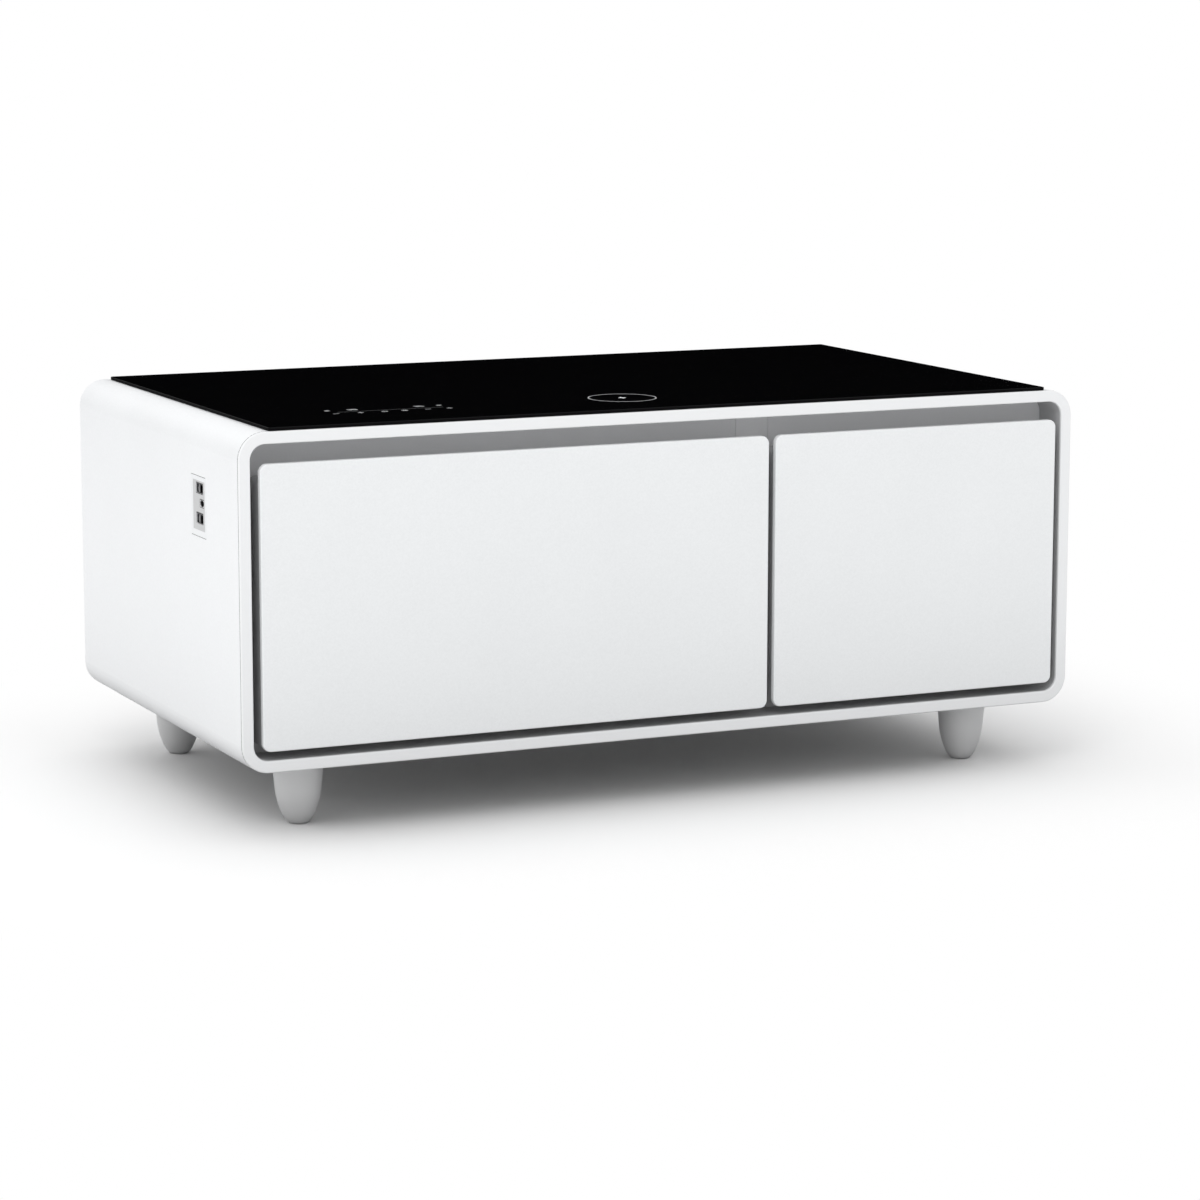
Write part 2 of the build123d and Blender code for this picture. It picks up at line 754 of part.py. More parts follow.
def make_condenser():
    """Flat tubes and folded fins between two round headers."""
    ports = []
    for y in (header_left, header_right):
        header = rod_z(core_x, y, header_bottom, header_top, header_radius)
        ports.append(fillet(header.edges().filter_by(GeomType.CIRCLE), 2.5))
    core = ports[0] + ports[1]
    pitch = (core_top - core_bottom) / (flat_tubes - 1)
    x0 = core_x - core_depth / 2
    x1 = core_x + core_depth / 2
    for i in range(flat_tubes):
        z = core_bottom + i * pitch
        core += block(x0 + flat_tube_set, x1 - flat_tube_set, header_left, header_right,
                      z - flat_tube_height / 2, z + flat_tube_height / 2)
    fin_y0 = header_left + header_radius + 1
    fin_y1 = header_right - header_radius - 1
    fold = (fin_y1 - fin_y0) / fold_count
    for i in range(flat_tubes - 1):
        z0 = core_bottom + i * pitch + flat_tube_height / 2 - fin_joint
        z1 = core_bottom + (i + 1) * pitch - flat_tube_height / 2 + fin_joint
        upper = []
        lower = []
        for k in range(fold_count + 1):
            z = z0 if k % 2 == 0 else z1 - fin
            upper.append((fin_y0 + k * fold, z + fin))
            lower.append((fin_y0 + k * fold, z))
        strip = Polygon(*lower, *reversed(upper), align=None)
        core += Pos(x0, 0, 0) * extrude(Plane.YZ * strip, core_depth)
    return core


def make_fan_shroud():
    """Hood from the condenser to the fan, with a throat and arms for the motor."""
    y0 = header_left - header_radius
    y1 = header_right + header_radius
    z0 = header_bottom - hood_wall
    z1 = header_top + hood_wall
    x1 = fan_plate_front + hood_wall
    hood = block(hood_front, x1, y0, y1, z0, z1)
    hood -= block(hood_front, fan_plate_front, y0 + hood_wall, y1 - hood_wall, z0 + hood_wall, z1 - hood_wall)
    throat_end = x1 + throat_depth
    hood += rod_x(fan_plate_front, throat_end, bay_middle, fan_z, throat_radius + hood_wall)
    hood -= rod_x(fan_plate_front, throat_end, bay_middle, fan_z, throat_radius)
    arm_front = fan_plate_front - arm
    reach = throat_radius + arm
    for angle in (45, 135):
        bar = block(arm_front, fan_plate_front, -reach, reach, -arm_width / 2, arm_width / 2)
        hood += Pos(0, bay_middle, fan_z) * Rot(angle, 0, 0) * bar
    hood += rod_x(arm_front, fan_plate_front, bay_middle, fan_z, fan_motor_radius + 1)
    hood -= rod_x(arm_front - arm, fan_plate_front + 1, bay_middle, fan_z, fan_shaft_radius + 2)
    side = shroud_foot - hood_wall
    foot = block(fan_plate_front - shroud_foot, x1, y0 + side, y1 - side, floor_inside + seat_gap, z0)
    foot -= block(fan_plate_front - side, x1, y0 + shroud_foot, y1 - shroud_foot, floor_inside + 2 * hood_wall, z0)
    return hood + foot


def make_fan_motor():
    back = fan_plate_front - arm
    motor = rod_x(back - fan_motor_length, back, bay_middle, fan_z, fan_motor_radius)
    motor = fillet(motor.edges().group_by(Axis.X)[0], 2.0)
    bore_end = back - fan_motor_length + motor_cap - 1
    return motor - rod_x(bore_end, back, bay_middle, fan_z, fan_shaft_radius + shaft_gap)


fan_start = fan_plate_front + 1.0


def make_condenser_fan():
    rotor = make_rotor(fan_hub_radius, fan_hub_length, fan_tip_radius, 5, (24.0, 46.0), (38, 20),
                       fan_shaft_radius, arm + fan_motor_length - motor_cap)
    return Pos(fan_start, bay_middle, fan_z) * rotor


# Compressor on its plate

compressor_x = fan_start + 134.7
compressor_radius = 58.0
compressor_height = 139.0
compressor_bottom = floor_inside + 16.7
compressor_top = compressor_bottom + compressor_height
seam_rim = 3.0
mount_x = 62.0
mount_y = 44.0
mount_sheet = 3.0
mount_margin = 12.0
grommet_radius = 10.0
grommet_neck = 6.0
grommet_lip = 2.5
grommet_cap = 4.0
mount_pin = 3.0
plate_x = 78.0
plate_y = 58.0
plate_turn = 7.0
plate_steel = 1.5
tray_radius = 8.0
stub_radius = 5.0
stub_top = compressor_top + 6.0
stub_x = 24.0
stub_y = -22.0
foot_z = compressor_bottom + 3.0
pin_top = foot_z + 12.0
cover_width = 44.0
cover_reach = 20.0
cover_drop = 21.0  # from the top of the can


mount_places = [(compressor_x + x, bay_middle + y) for x in (-mount_x, mount_x) for y in (-mount_y, mount_y)]


def make_base_plate():
    x0 = compressor_x - plate_x
    x1 = compressor_x + plate_x
    y0 = bay_middle - plate_y
    y1 = bay_middle + plate_y
    z0 = floor_inside + seat_gap
    t = plate_steel
    tray = flat(x0, x1, y0, y1, z0, z0 + plate_turn, tray_radius)
    tray -= flat(x0 + t, x1 - t, y0 + t, y1 - t, z0 + t, z0 + plate_turn, tray_radius - t)
    return tray + [rod_z(x, y, z0, pin_top, mount_pin) for x, y in mount_places]


def make_compressor():
    """Welded steel can: two drawn halves with a seam, on a foot plate."""
    r = compressor_radius
    low = compressor_bottom
    high = compressor_top
    waist = low + (high - low) * 0.45
    rim = seam_rim
    outline = [
        Line((0, 0, low), (r * 0.55, 0, low)),
        Bezier((r * 0.55, 0, low), (r * 0.92, 0, low), (r, 0, low + 18), (r, 0, low + 34)),
        Line((r, 0, low + 34), (r, 0, waist - rim)),
        Line((r, 0, waist - rim), (r + rim, 0, waist - rim)),
        Line((r + rim, 0, waist - rim), (r + rim, 0, waist + rim)),
        Line((r + rim, 0, waist + rim), (r, 0, waist + rim)),
        Line((r, 0, waist + rim), (r, 0, high - 44)),
        Bezier((r, 0, high - 44), (r, 0, high - 14), (r * 0.7, 0, high), (0, 0, high)),
        Line((0, 0, high), (0, 0, low)),
    ]
    can = Pos(compressor_x, bay_middle, 0) * revolve(make_face(Curve() + outline), Axis.Z)
    half_x = mount_x + mount_margin
    half_y = mount_y + mount_margin
    foot = flat(compressor_x - half_x, compressor_x + half_x, bay_middle - half_y, bay_middle + half_y,
                foot_z, foot_z + mount_sheet, mount_margin)
    foot -= [rod_z(x, y, foot_z, foot_z + mount_sheet, grommet_neck + seat_gap) for x, y in mount_places]
    stubs = [rod_z(compressor_x + x, bay_middle + stub_y, high - 24, stub_top, stub_radius) for x in (-stub_x, stub_x)]
    return can + foot + stubs


def make_grommets():
    bottom = floor_inside + seat_gap + plate_steel
    neck_top = foot_z + mount_sheet
    rubbers = []
    for x, y in mount_places:
        rubber = rod_z(x, y, bottom, foot_z, grommet_radius)
        rubber += rod_z(x, y, foot_z, neck_top, grommet_neck)
        rubber += rod_z(x, y, neck_top, neck_top + grommet_cap, grommet_neck + grommet_lip)
        rubbers.append(rubber - rod_z(x, y, bottom, pin_top, mount_pin + seat_gap))
    return rubbers


def make_terminal_cover():
    x0 = compressor_x + compressor_radius * 0.8
    x1 = compressor_x + compressor_radius + cover_reach
    half = cover_width / 2
    high = compressor_top - cover_drop
    cover = block(x0, x1, bay_middle - half, bay_middle + half, high - cover_width, high)
    cover = fillet(cover.edges().filter_by(Axis.Z), 4)
    return cover - rod_z(compressor_x, bay_middle, compressor_bottom, compressor_top, compressor_radius + close_gap)


drier_x = fan_start + fan_hub_length + 24
drier_radius = 9.0
drier_y = lip_front - bay_clear - drier_radius
drier_height = 78.0
drier_taper = 16.0
drier_bottom = floor_inside + 77.7
drier_top = drier_bottom + drier_height
pipe = 3.0
pipe_wall = 0.6
capillary = 1.5


def make_drier():
    r = drier_radius
    neck = pipe + pipe_wall
    low = drier_bottom
    high = drier_top
    points = [(0, low), (neck, low), (neck, low + drier_taper / 2), (r, low + drier_taper),
              (r, high - drier_taper), (neck, high - drier_taper / 2), (neck, high), (0, high)]
    side = Plane.XZ * Polygon(*points, align=None)
    return Pos(drier_x, drier_y, 0) * revolve(side, Axis.Z)


def tube(points, bend, radius):
    """Bent tube through points."""
    path = FilletPolyline(*points, radius=bend)
    section = Plane(origin=path @ 0, z_dir=path % 0) * Circle(radius)
    return sweep(section, path)


def make_lines():
    """Copper pipes between the compressor, the condenser, the drier and the cold plates."""
    y_stub = bay_middle + stub_y
    hot_x = compressor_x - stub_x
    cold_x = compressor_x + stub_x
    over = header_top + 22
    discharge = tube([(hot_x, y_stub, stub_top), (hot_x, y_stub, over), (core_x, y_stub, over),
                      (core_x, header_left, over), (core_x, header_left, header_top)], 10, pipe)
    under = header_bottom - 14
    liquid = tube([(core_x, header_right, header_bottom), (core_x, header_right, under),
                   (drier_x, drier_y, under), (drier_x, drier_y, drier_bottom)], 8, pipe)
    wall = bay_front
    suction_z = stub_top + 60
    suction = tube([(cold_x, y_stub, stub_top), (cold_x, y_stub, suction_z), (cold_x, wall, suction_z)], 14, pipe)
    feed_z = header_top + 4
    feed = tube([(drier_x, drier_y, drier_top), (drier_x, drier_y, feed_z), (drier_x, wall, feed_z)], 8, capillary)
    return discharge, liquid, suction, feed


def make_bulkhead():
    """Folded sheet between the insulation and the machine room."""
    y_deep = left_foam_rear + seat_gap
    y_near = right_foam_rear + seat_gap
    t = bulkhead_sheet
    x_fold = foam_step + seat_gap
    fold = block(-half_width, x_fold + t, y_deep, y_deep + t, 0, table_height)
    fold += block(x_fold, x_fold + t, y_near, y_deep + t, 0, table_height)
    fold += block(x_fold, half_width, y_near, y_near + t, 0, table_height)
    return leg_pockets(fold & cabinet_outline(sheet + seat_gap, y_near, y_deep + t))


# Rear panel and electrics

inlet_x = -half_width + 127.05
inlet_z = floor_inside + 51.7
inlet_width = 28.0
inlet_height = 20.5
inlet_flange_x = 25.0
inlet_flange_z = 15.0
inlet_flange = 2.0
inlet_depth = 22.0
inlet_cavity = (24.0, 16.5, 15.0)
inlet_blades = ((-7.0, -2.0), (7.0, -2.0), (0.0, 3.0))
louvre_columns = 4
louvre_rows = 14
louvre_side = 12.0
louvre_lift = 62.0
louvre_gap = 10.0


def louvre_group(x0, columns, rows, z0):
    """Places of one block of louvres: low corner of each."""
    step = louvre_width + louvre_gap
    return [(x0 + i * step, z0 + k * louvre_pitch) for i in range(columns) for k in range(rows)]


def louvre(x, z, grow_in):
    """Solid under one louvre's hood; grown in, it is the air way beneath the hood."""
    y0 = panel_back - (back_sheet + 1 if grow_in else 0.2)
    rise = louvre_rise - (0.9 if grow_in else 0)
    top = z + louvre_height - (1.6 if grow_in else 0)
    low = z - (1.0 if grow_in else 0)
    side = 1.2 if grow_in else 0
    section = [(y0, low), (panel_back + rise, low), (panel_back + rise, z + 1.5), (panel_back, top), (y0, top)]
    profile = Plane.YZ * Polygon(*section, align=None)
    return Pos(x + side, 0, 0) * extrude(profile, louvre_width - 2 * side)


def make_back_panel():
    panel = cabinet_outline(sheet + seat_gap, panel_front, panel_back)
    places = louvre_group(bay_left + louvre_side, louvre_columns, louvre_rows, floor_inside + louvre_lift)
    panel += [louvre(x, z, False) for x, z in places]
    panel -= [louvre(x, z, True) for x, z in places]
    panel -= [rod_y(x, panel_front, panel_back, z, panel_screw_radius + seat_gap) for x, z in panel_screw_places()]
    half_x = inlet_width / 2 + seat_gap
    half_z = inlet_height / 2 + seat_gap
    return panel - upright(inlet_x - half_x, inlet_x + half_x, inlet_z - half_z, inlet_z + half_z,
                           panel_front, panel_back, 2)


def make_panel_screws():
    screws = []
    for x, z in panel_screw_places():
        head = rod_y(x, panel_back, panel_back + panel_screw_height, z, panel_screw_head)
        head = fillet(head.edges().group_by(Axis.Y)[-1], 1.0)
        slot = block(x - 2.2, x + 2.2, panel_back + 1.0, panel_back + 3.0, z - 0.5, z + 0.5)
        cross = block(x - 0.5, x + 0.5, panel_back + 1.0, panel_back + 3.0, z - 2.2, z + 2.2)
        shank = rod_y(x, panel_back - panel_screw_length, panel_back, z, panel_screw_radius - shaft_gap)
        screws.append(head + shank - slot - cross)
    return screws


def make_power_inlet():
    """Mains socket with three flat blades in its well."""
    back = panel_back + inlet_flange
    flange = upright(inlet_x - inlet_flange_x, inlet_x + inlet_flange_x, inlet_z - inlet_flange_z,
                     inlet_z + inlet_flange_z, panel_back, back, 5)
    body = upright(inlet_x - inlet_width / 2, inlet_x + inlet_width / 2, inlet_z - inlet_height / 2,
                   inlet_z + inlet_height / 2, back - inlet_depth, panel_back, 2)
    w, h, d = inlet_cavity
    well = upright(inlet_x - w / 2, inlet_x + w / 2, inlet_z - h / 2, inlet_z + h / 2, back - d, back, 3)
    socket = flange + body - well
    for x, z in inlet_blades:
        socket += block(inlet_x + x - 1, inlet_x + x + 1, back - d - 1, back - 4, inlet_z + z - 2, inlet_z + z + 2)
    return socket


board_sheet = 1.6
board_standoff = 6.0
readout_size = (40.0, 18.0, 5.0)
readout_front = 38.0
readout_side = 21.0
coil_radius = 25.0
coil_eye = 10.0
coil_height = 1.4
ferrite_half = 27.0
ferrite_height = 2.0


def standing_board(x0, x1, z0, z1):
    """Circuit board on four posts behind the shallow part of the bulkhead."""
    y0 = shallow_bay_front + board_standoff
    board = upright(x0, x1, z0, z1, y0, y0 + board_sheet, 2)
    posts = [rod_y(x, shallow_bay_front, y0, z, 3) for x in (x0 + 7, x1 - 7) for z in (z0 + 7, z1 - 7)]
    return board + posts, y0 + board_sheet


supply_x = inlet_x + 70.0
supply_z = floor_inside + 69.7
supply_size = (160.0, 110.0)
control_x = supply_x + 220.0
control_z = supply_z + 10.0
control_size = (140.0, 90.0)


def make_power_supply():
    x0 = supply_x
    z0 = supply_z
    board, y = standing_board(x0, x0 + supply_size[0], z0, z0 + supply_size[1])
    core = block(x0 + 55, x0 + 97, y, y + 30, z0 + 40, z0 + 76)
    winding = block(x0 + 60, x0 + 92, y, y + 36, z0 + 45, z0 + 71)
    cans = [rod_y(x0 + 28, y, y + 38, z, 11) for z in (z0 + 35, z0 + 68)]
    sink = block(x0 + 114, x0 + 116, y, y + 34, z0 + 18, z0 + 92)
    fins = [block(x0 + 116, x0 + 128, y + 4, y + 34, z0 + 20 + i * 10, z0 + 22 + i * 10) for i in range(8)]
    plug = block(x0 + 10, x0 + 42, y, y + 12, z0 + 92, z0 + 104)
    return board + core + winding + cans + sink + fins + plug


def make_control_board():
    x0 = control_x
    z0 = control_z
    board, y = standing_board(x0, x0 + control_size[0], z0, z0 + control_size[1])
    relays = [block(x0 + 20 + i * 26, x0 + 40 + i * 26, y, y + 15, z0 + 14, z0 + 32) for i in range(3)]
    chip = block(x0 + 60, x0 + 80, y, y + 2, z0 + 50, z0 + 70)
    plugs = [block(x0 + 8 + i * 30, x0 + 30 + i * 30, y, y + 9, z0 + 78, z0 + 86) for i in range(4)]
    return board + relays + chip + plugs


def make_touch_board():
    """Touch and display board under the glass."""
    x0, x1, y0, y1 = touch_window
    top = cabinet_top
    under = top - board_sheet
    board = flat(x0 + seam, x1 - seam, y0 + seam, y1 - seam, under, top, window_radius - seam)
    width, depth, height = readout_size
    readouts = [block(x, x + width, y0 + readout_front, y0 + readout_front + depth, under - height, under)
                for x in (x0 + readout_side, x1 - readout_side - width)]
    middle = (x0 + x1) / 2
    plug = block(middle - 10, middle + 10, y0 + 28, y0 + 36, under - height - 1, under)
    return board + readouts + plug


def make_wireless_coil():
    """Flat charging coil on its ferrite plate."""
    x, y = coil_centre
    top = cabinet_top
    seat = top - coil_height
    coil = rod_z(x, y, seat, top, coil_radius) - rod_z(x, y, seat, top, coil_eye)
    half = ferrite_half
    return coil + flat(x - half, x + half, y - half, y + half, seat - ferrite_height, seat, 3)


# Socket module on the left side

socket_sheet = 2.0
socket_tray = 22.0
socket_back = -half_width + socket_sheet + socket_tray
tray_set = 2.0
port_set = 0.4
port_depth = 17.0
port_wall = 0.7
wide_port = (21.7, 10.9)
wide_port_y = socket_front + 21.1
upper_port_z = socket_top - 13.5
lower_port_z = socket_top - 47.9
small_port = (11.9, 7.5)
small_port_y = socket_front + 13.8
small_port_z = socket_top - 30.0
ports = [(wide_port, wide_port_y, upper_port_z, 1.2), (wide_port, wide_port_y, lower_port_z, 1.2),
         (small_port, small_port_y, small_port_z, 3.6)]


def port_cut(port, inset, x0, x1):
    """Bar through one socket's outline, drawn in by an inset."""
    (w, h), y, z, radius = port
    return sideways(x0, x1, y - w / 2 + inset, y + w / 2 - inset, z - h / 2 + inset, z + h / 2 - inset,
                    max(radius - inset, 0.4))


def plate_inset(inset, x0, x1, radius):
    """Bar behind the socket plate, drawn in from its edges."""
    return sideways(x0, x1, socket_plate_y[0] + inset, socket_plate_y[1] - inset,
                    socket_plate_z[0] + inset, socket_plate_z[1] - inset, radius)


def make_usb_bezel():
    x0 = -half_width
    x1 = x0 + socket_sheet
    plate = sideways(x0, x1, *socket_plate_y, *socket_plate_z, socket_radius)
    tray = plate_inset(tray_set, x1, socket_back, socket_sheet)
    tray -= plate_inset(tray_set + socket_sheet, x1, socket_back, socket_sheet / 2)
    bezel = plate + tray
    for port in ports:
        bezel -= port_cut(port, -seat_gap / 2, x0 - 1, x1 + 1)
    return bezel


def make_usb_ports():
    """Two wide sockets and a small one, each a metal shell with a tongue."""
    x0 = -half_width + port_set
    x1 = x0 + port_depth
    shells = []
    for port in ports:
        (w, h), y, z, _ = port
        shell = port_cut(port, 0, x0, x1) - port_cut(port, port_wall, x0, x1 - 1.5)
        tongue_z = z + h / 2 - port_wall - 1.8 if h > 9 else z
        half = w / 2 - port_wall - 1.2
        half_tongue = 0.9 if h > 9 else 0.5
        shell += block(x0 + 2, x1 - 1, y - half, y + half, tongue_z - half_tongue, tongue_z + half_tongue)
        shells.append(shell)
    return shells


def make_usb_board():
    x0 = -half_width + port_set + port_depth
    return plate_inset(tray_set + socket_sheet + seam, x0, x0 + board_sheet, socket_sheet / 2)


# Glass top


def glass_limits(inset):
    x = half_width - glass_side - inset
    return -x, x, ring_front + glass_front_set + inset, rear - glass_rear_set - inset


def make_glass():
    glass = flat(*glass_limits(0), cabinet_top + tape_thickness, table_height, glass_radius)
    edges = glass.edges().group_by(Axis.Z)
    return chamfer(edges[0] + edges[-1], glass_chamfer)


def make_tape():
    top = cabinet_top + tape_thickness
    band = flat(*glass_limits(4), cabinet_top, top, 1)
    return band - flat(*glass_limits(4 + tape_width), cabinet_top, top, 1)


# Feet


def make_leg(x, y):
    """Turned foot with a straight taper above and a round end below."""
    knee = (leg_knee_radius, 0, leg_knee_height)
    toe = (leg_foot_radius, 0, glide_proud)
    outline = [
        Line((0, 0, cabinet_bottom), (leg_top_radius, 0, cabinet_bottom)),
        Line((leg_top_radius, 0, cabinet_bottom), knee),
        Bezier(knee, (leg_bend_radius, 0, leg_bend_height), (leg_toe_bend, 0, glide_proud), toe),
        Line(toe, (0, 0, glide_proud)),
        Line((0, 0, glide_proud), (0, 0, cabinet_bottom)),
    ]
    leg = revolve(make_face(Curve() + outline), Axis.Z)
    leg -= rod_z(0, 0, cabinet_bottom - stud_depth - seat_gap, cabinet_bottom, stud_radius + seat_gap)
    leg -= rod_z(0, 0, 0, glide_thickness + seat_gap, glide_radius + seat_gap)
    return Pos(x, y, 0) * leg


def make_leg_plates():
    half = leg_plate_size / 2
    z0 = floor_inside + seat_gap
    plates = []
    for x, y in leg_places:
        plate = flat(x - half, x + half, y - half, y + half, z0, z0 + leg_plate_sheet, leg_plate_radius)
        plates.append(plate - rod_z(x, y, z0, z0 + leg_plate_sheet, stud_radius + seat_gap))
    return plates


def make_leg_studs():
    z1 = floor_inside + seat_gap + leg_plate_sheet
    studs = []
    for x, y in leg_places:
        stud = rod_z(x, y, cabinet_bottom - stud_depth, z1 + nut_height + stud_end, stud_radius)
        nut = Pos(x, y, z1) * extrude(RegularPolygon(nut_radius, 6), nut_height)
        studs.append(stud + nut)
    return studs


def make_glides():
    return [rod_z(x, y, 0, glide_thickness, glide_radius) for x, y in leg_places]


# Write every sub-part

screw_cuts = rail_screws(seat_gap)
save("outer_shell", make_outer_shell())
save("front_frame", make_front_frame())
save("recess_surround", make_recess_surround())
save("fascia_panels", *make_fascia_panels())
save("divider_cover", make_divider_cover())
save("insulation_foam", make_foam())
save("bulkhead", make_bulkhead())
save("back_panel", make_back_panel())
save("back_panel_screws", *make_panel_screws())
save("power_inlet", make_power_inlet())
save("power_supply", make_power_supply())
save("control_board", make_control_board())
save("touch_board", make_touch_board())
save("wireless_coil", make_wireless_coil())
save("usb_bezel", make_usb_bezel())
save("usb_ports", *make_usb_ports())
save("usb_board", make_usb_board())
save("glass_top", make_glass())
save("glass_tape", make_tape())
save("leg_plates", *make_leg_plates())
save("leg_studs", *make_leg_studs())
save("leg_glides", *make_glides())
for name, place in zip(("front_left", "front_right", "rear_left", "rear_right"), leg_places):
    save(f"leg_{name}", make_leg(*place))

save("condenser", make_condenser())
save("fan_shroud", make_fan_shroud())
save("fan_motor", make_fan_motor())
save("condenser_fan", make_condenser_fan())
save("base_plate", make_base_plate())
save("compressor", make_compressor())
save("compressor_grommets", *make_grommets())
save("terminal_cover", make_terminal_cover())
save("filter_drier", make_drier())
save("refrigerant_lines", *make_lines())

save("left_evaporator", cold_plate(left_room, left_plate_side, left_room_back))
save("right_evaporator", cold_plate(right_room, right_plate_side, right_room_back))
save("left_evaporator_cover", make_evaporator_cover())
save("evaporator_fan_motor", make_evaporator_motor())
save("evaporator_fan", make_evaporator_fan())
save("rail_screws", *rail_screws(0))

sides = (
    ("left", left_door, left_room, left_room_back, left_rail_back, left_travel),
    ("right", right_door, right_room, right_room_back, right_rail_back, right_travel),
)
for side, door, room, room_back, rail_back, travel in sides:
    liner = make_liner(room, room_back)
    outer_rails = both_walls(room, [outer_rail(rail_back)])
    for cut in screw_cuts:
        liner -= cut
        outer_rails = [rail - cut for rail in outer_rails]
    save(f"{side}_liner", liner)
    save(f"{side}_outer_rails", *outer_rails)
    save(f"{side}_inner_rails", *both_walls(room, [inner_rail(rail_back)]))
    save(f"{side}_ball_cages", *both_walls(room, ball_cage(rail_back, travel)))
    save(f"{side}_door_front", make_door_front(door))
    save(f"{side}_door_body", make_door_body(door))
    save(f"{side}_door_foam", make_door_foam(door))
    save(f"{side}_gasket", make_gasket(door))
    save(f"{side}_bin", make_bin(room, rail_back))
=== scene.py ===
import bpy
import json
import math
import numpy as np
from mathutils import Euler, Matrix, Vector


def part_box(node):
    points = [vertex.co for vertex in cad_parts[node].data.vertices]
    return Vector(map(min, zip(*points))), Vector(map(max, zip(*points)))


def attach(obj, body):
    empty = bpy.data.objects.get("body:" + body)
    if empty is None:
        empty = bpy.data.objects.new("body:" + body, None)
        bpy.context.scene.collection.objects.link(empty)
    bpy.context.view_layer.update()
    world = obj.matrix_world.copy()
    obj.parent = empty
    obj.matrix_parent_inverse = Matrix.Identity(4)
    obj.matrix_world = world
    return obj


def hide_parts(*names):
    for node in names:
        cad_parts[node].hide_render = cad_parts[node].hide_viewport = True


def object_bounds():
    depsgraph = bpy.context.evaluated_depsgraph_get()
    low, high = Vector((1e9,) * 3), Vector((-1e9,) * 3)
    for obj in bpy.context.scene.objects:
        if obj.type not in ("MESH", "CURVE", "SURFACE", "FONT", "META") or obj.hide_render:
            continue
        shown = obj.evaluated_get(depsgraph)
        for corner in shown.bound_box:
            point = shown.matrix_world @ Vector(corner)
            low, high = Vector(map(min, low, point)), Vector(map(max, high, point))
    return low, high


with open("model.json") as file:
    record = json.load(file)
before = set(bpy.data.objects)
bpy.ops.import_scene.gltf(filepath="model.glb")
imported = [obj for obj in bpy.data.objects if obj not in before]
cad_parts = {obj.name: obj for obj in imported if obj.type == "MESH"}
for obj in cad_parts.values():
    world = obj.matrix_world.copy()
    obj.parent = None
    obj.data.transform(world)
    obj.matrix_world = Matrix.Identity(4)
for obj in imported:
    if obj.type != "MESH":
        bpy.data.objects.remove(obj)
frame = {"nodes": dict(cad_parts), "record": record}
cadLow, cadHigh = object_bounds()
nodes = frame["nodes"]
record = frame["record"]
slotOfNode = {part["node"]: part["material_slot"] for part in record["subparts"]}
mm = 0.001
print("frame loaded:", len(nodes), "nodes")


cameraView = {
    "place": (-1.88155, -4.16211, 0.96142),
    "yaw": 24.761,  # degrees to the right of +Y
    "pitch": -9.529,
    "roll": 0.068,
    "lens": 113.881,
    "sensor": 36.0,
    "nearest": 0.05,
    "farthest": 200.0,
}


def makeCamera(view):
    # looks along +Y, turned right by yaw and up by pitch, then by roll about its own axis
    data = bpy.data.cameras.new("tableCamera")
    data.lens = view["lens"]
    data.sensor_width = view["sensor"]
    data.clip_start = view["nearest"]
    data.clip_end = view["farthest"]
    camera = bpy.data.objects.new("tableCamera", data)
    bpy.context.scene.collection.objects.link(camera)
    aim = Euler((math.radians(90 + view["pitch"]), 0, -math.radians(view["yaw"]))).to_matrix()
    turned = aim @ Matrix.Rotation(math.radians(view["roll"]), 3, "Z")
    camera.matrix_world = Matrix.Translation(view["place"]) @ turned.to_4x4()
    bpy.context.scene.camera = camera
    bpy.context.scene.view_settings.view_transform = "Standard"


makeCamera(cameraView)
print("camera set")


def put(tree, kind, inputs=None, **settings):
    # adds a node: an input that is a socket is linked, any other is set as a value
    node = tree.nodes.new(kind)
    for name, value in settings.items():
        setattr(node, name, value)
    for name, value in (inputs or {}).items():
        socket = node.inputs[name]
        if isinstance(value, bpy.types.NodeSocket):
            tree.links.new(value, socket)
        else:
            socket.default_value = value
    return node


def math2(tree, operation, a, b=0.0, c=0.0):
    # operation on a and b, and on c where it takes three
    node = put(tree, "ShaderNodeMath", {0: a, 1: b, 2: c}, operation=operation)
    return node.outputs[0]


def newGroup(name, inputs, outputs):
    # inputs: name -> (kind, starting value); outputs: name -> kind
    tree = bpy.data.node_groups.new(name, "ShaderNodeTree")
    for label, (kind, value) in inputs.items():
        socket = tree.interface.new_socket(label, in_out="INPUT", socket_type="NodeSocket" + kind)
        if kind != "Vector":
            socket.default_value = value
    for label, kind in outputs.items():
        tree.interface.new_socket(label, in_out="OUTPUT", socket_type="NodeSocket" + kind)
    return tree, put(tree, "NodeGroupInput"), put(tree, "NodeGroupOutput")


def shadeBy(tree, color, amount):
    # colour times a number: scales brightness, keeps the hue
    scaled = put(tree, "ShaderNodeVectorMath", {0: color, "Scale": amount}, operation="SCALE")
    return scaled.outputs[0]


effectLook = {
    "cloudScale": 9.0,  # broad noise of the grain, and its share beside the fine one
    "cloudShare": 0.35,
    "hazeScale": 22.0,  # oxide clouds on metal
    "bendScale": 120.0,  # noise that bends the edges of zinc crystals, and how far in metres
    "bendReach": 0.006,
    "tintScale": 14.0,  # broad tint of foam
    "trackEdge": (0.35, 0.5),  # distance from a crossing where the tracks of a board begin
    "padEdge": (0.16, 0.1),
    "solder": (0.55, 0.56, 0.55, 1),
}


def newEffect(name, size, kind="Float"):
    # the sockets that every effect has; size names the one for its pattern's size
    return newGroup(name, {
        "Vector": ("Vector", None), "Color": ("Color", (0.8, 0.8, 0.8, 1)), size: (kind, 900.0),
        "Contrast": ("Float", 0.1), "Rough": ("Float", 0.4), "Rough Spread": ("Float", 0.08),
    }, {"Color": "Color", "Rough": "Float", "Height": "Float"})


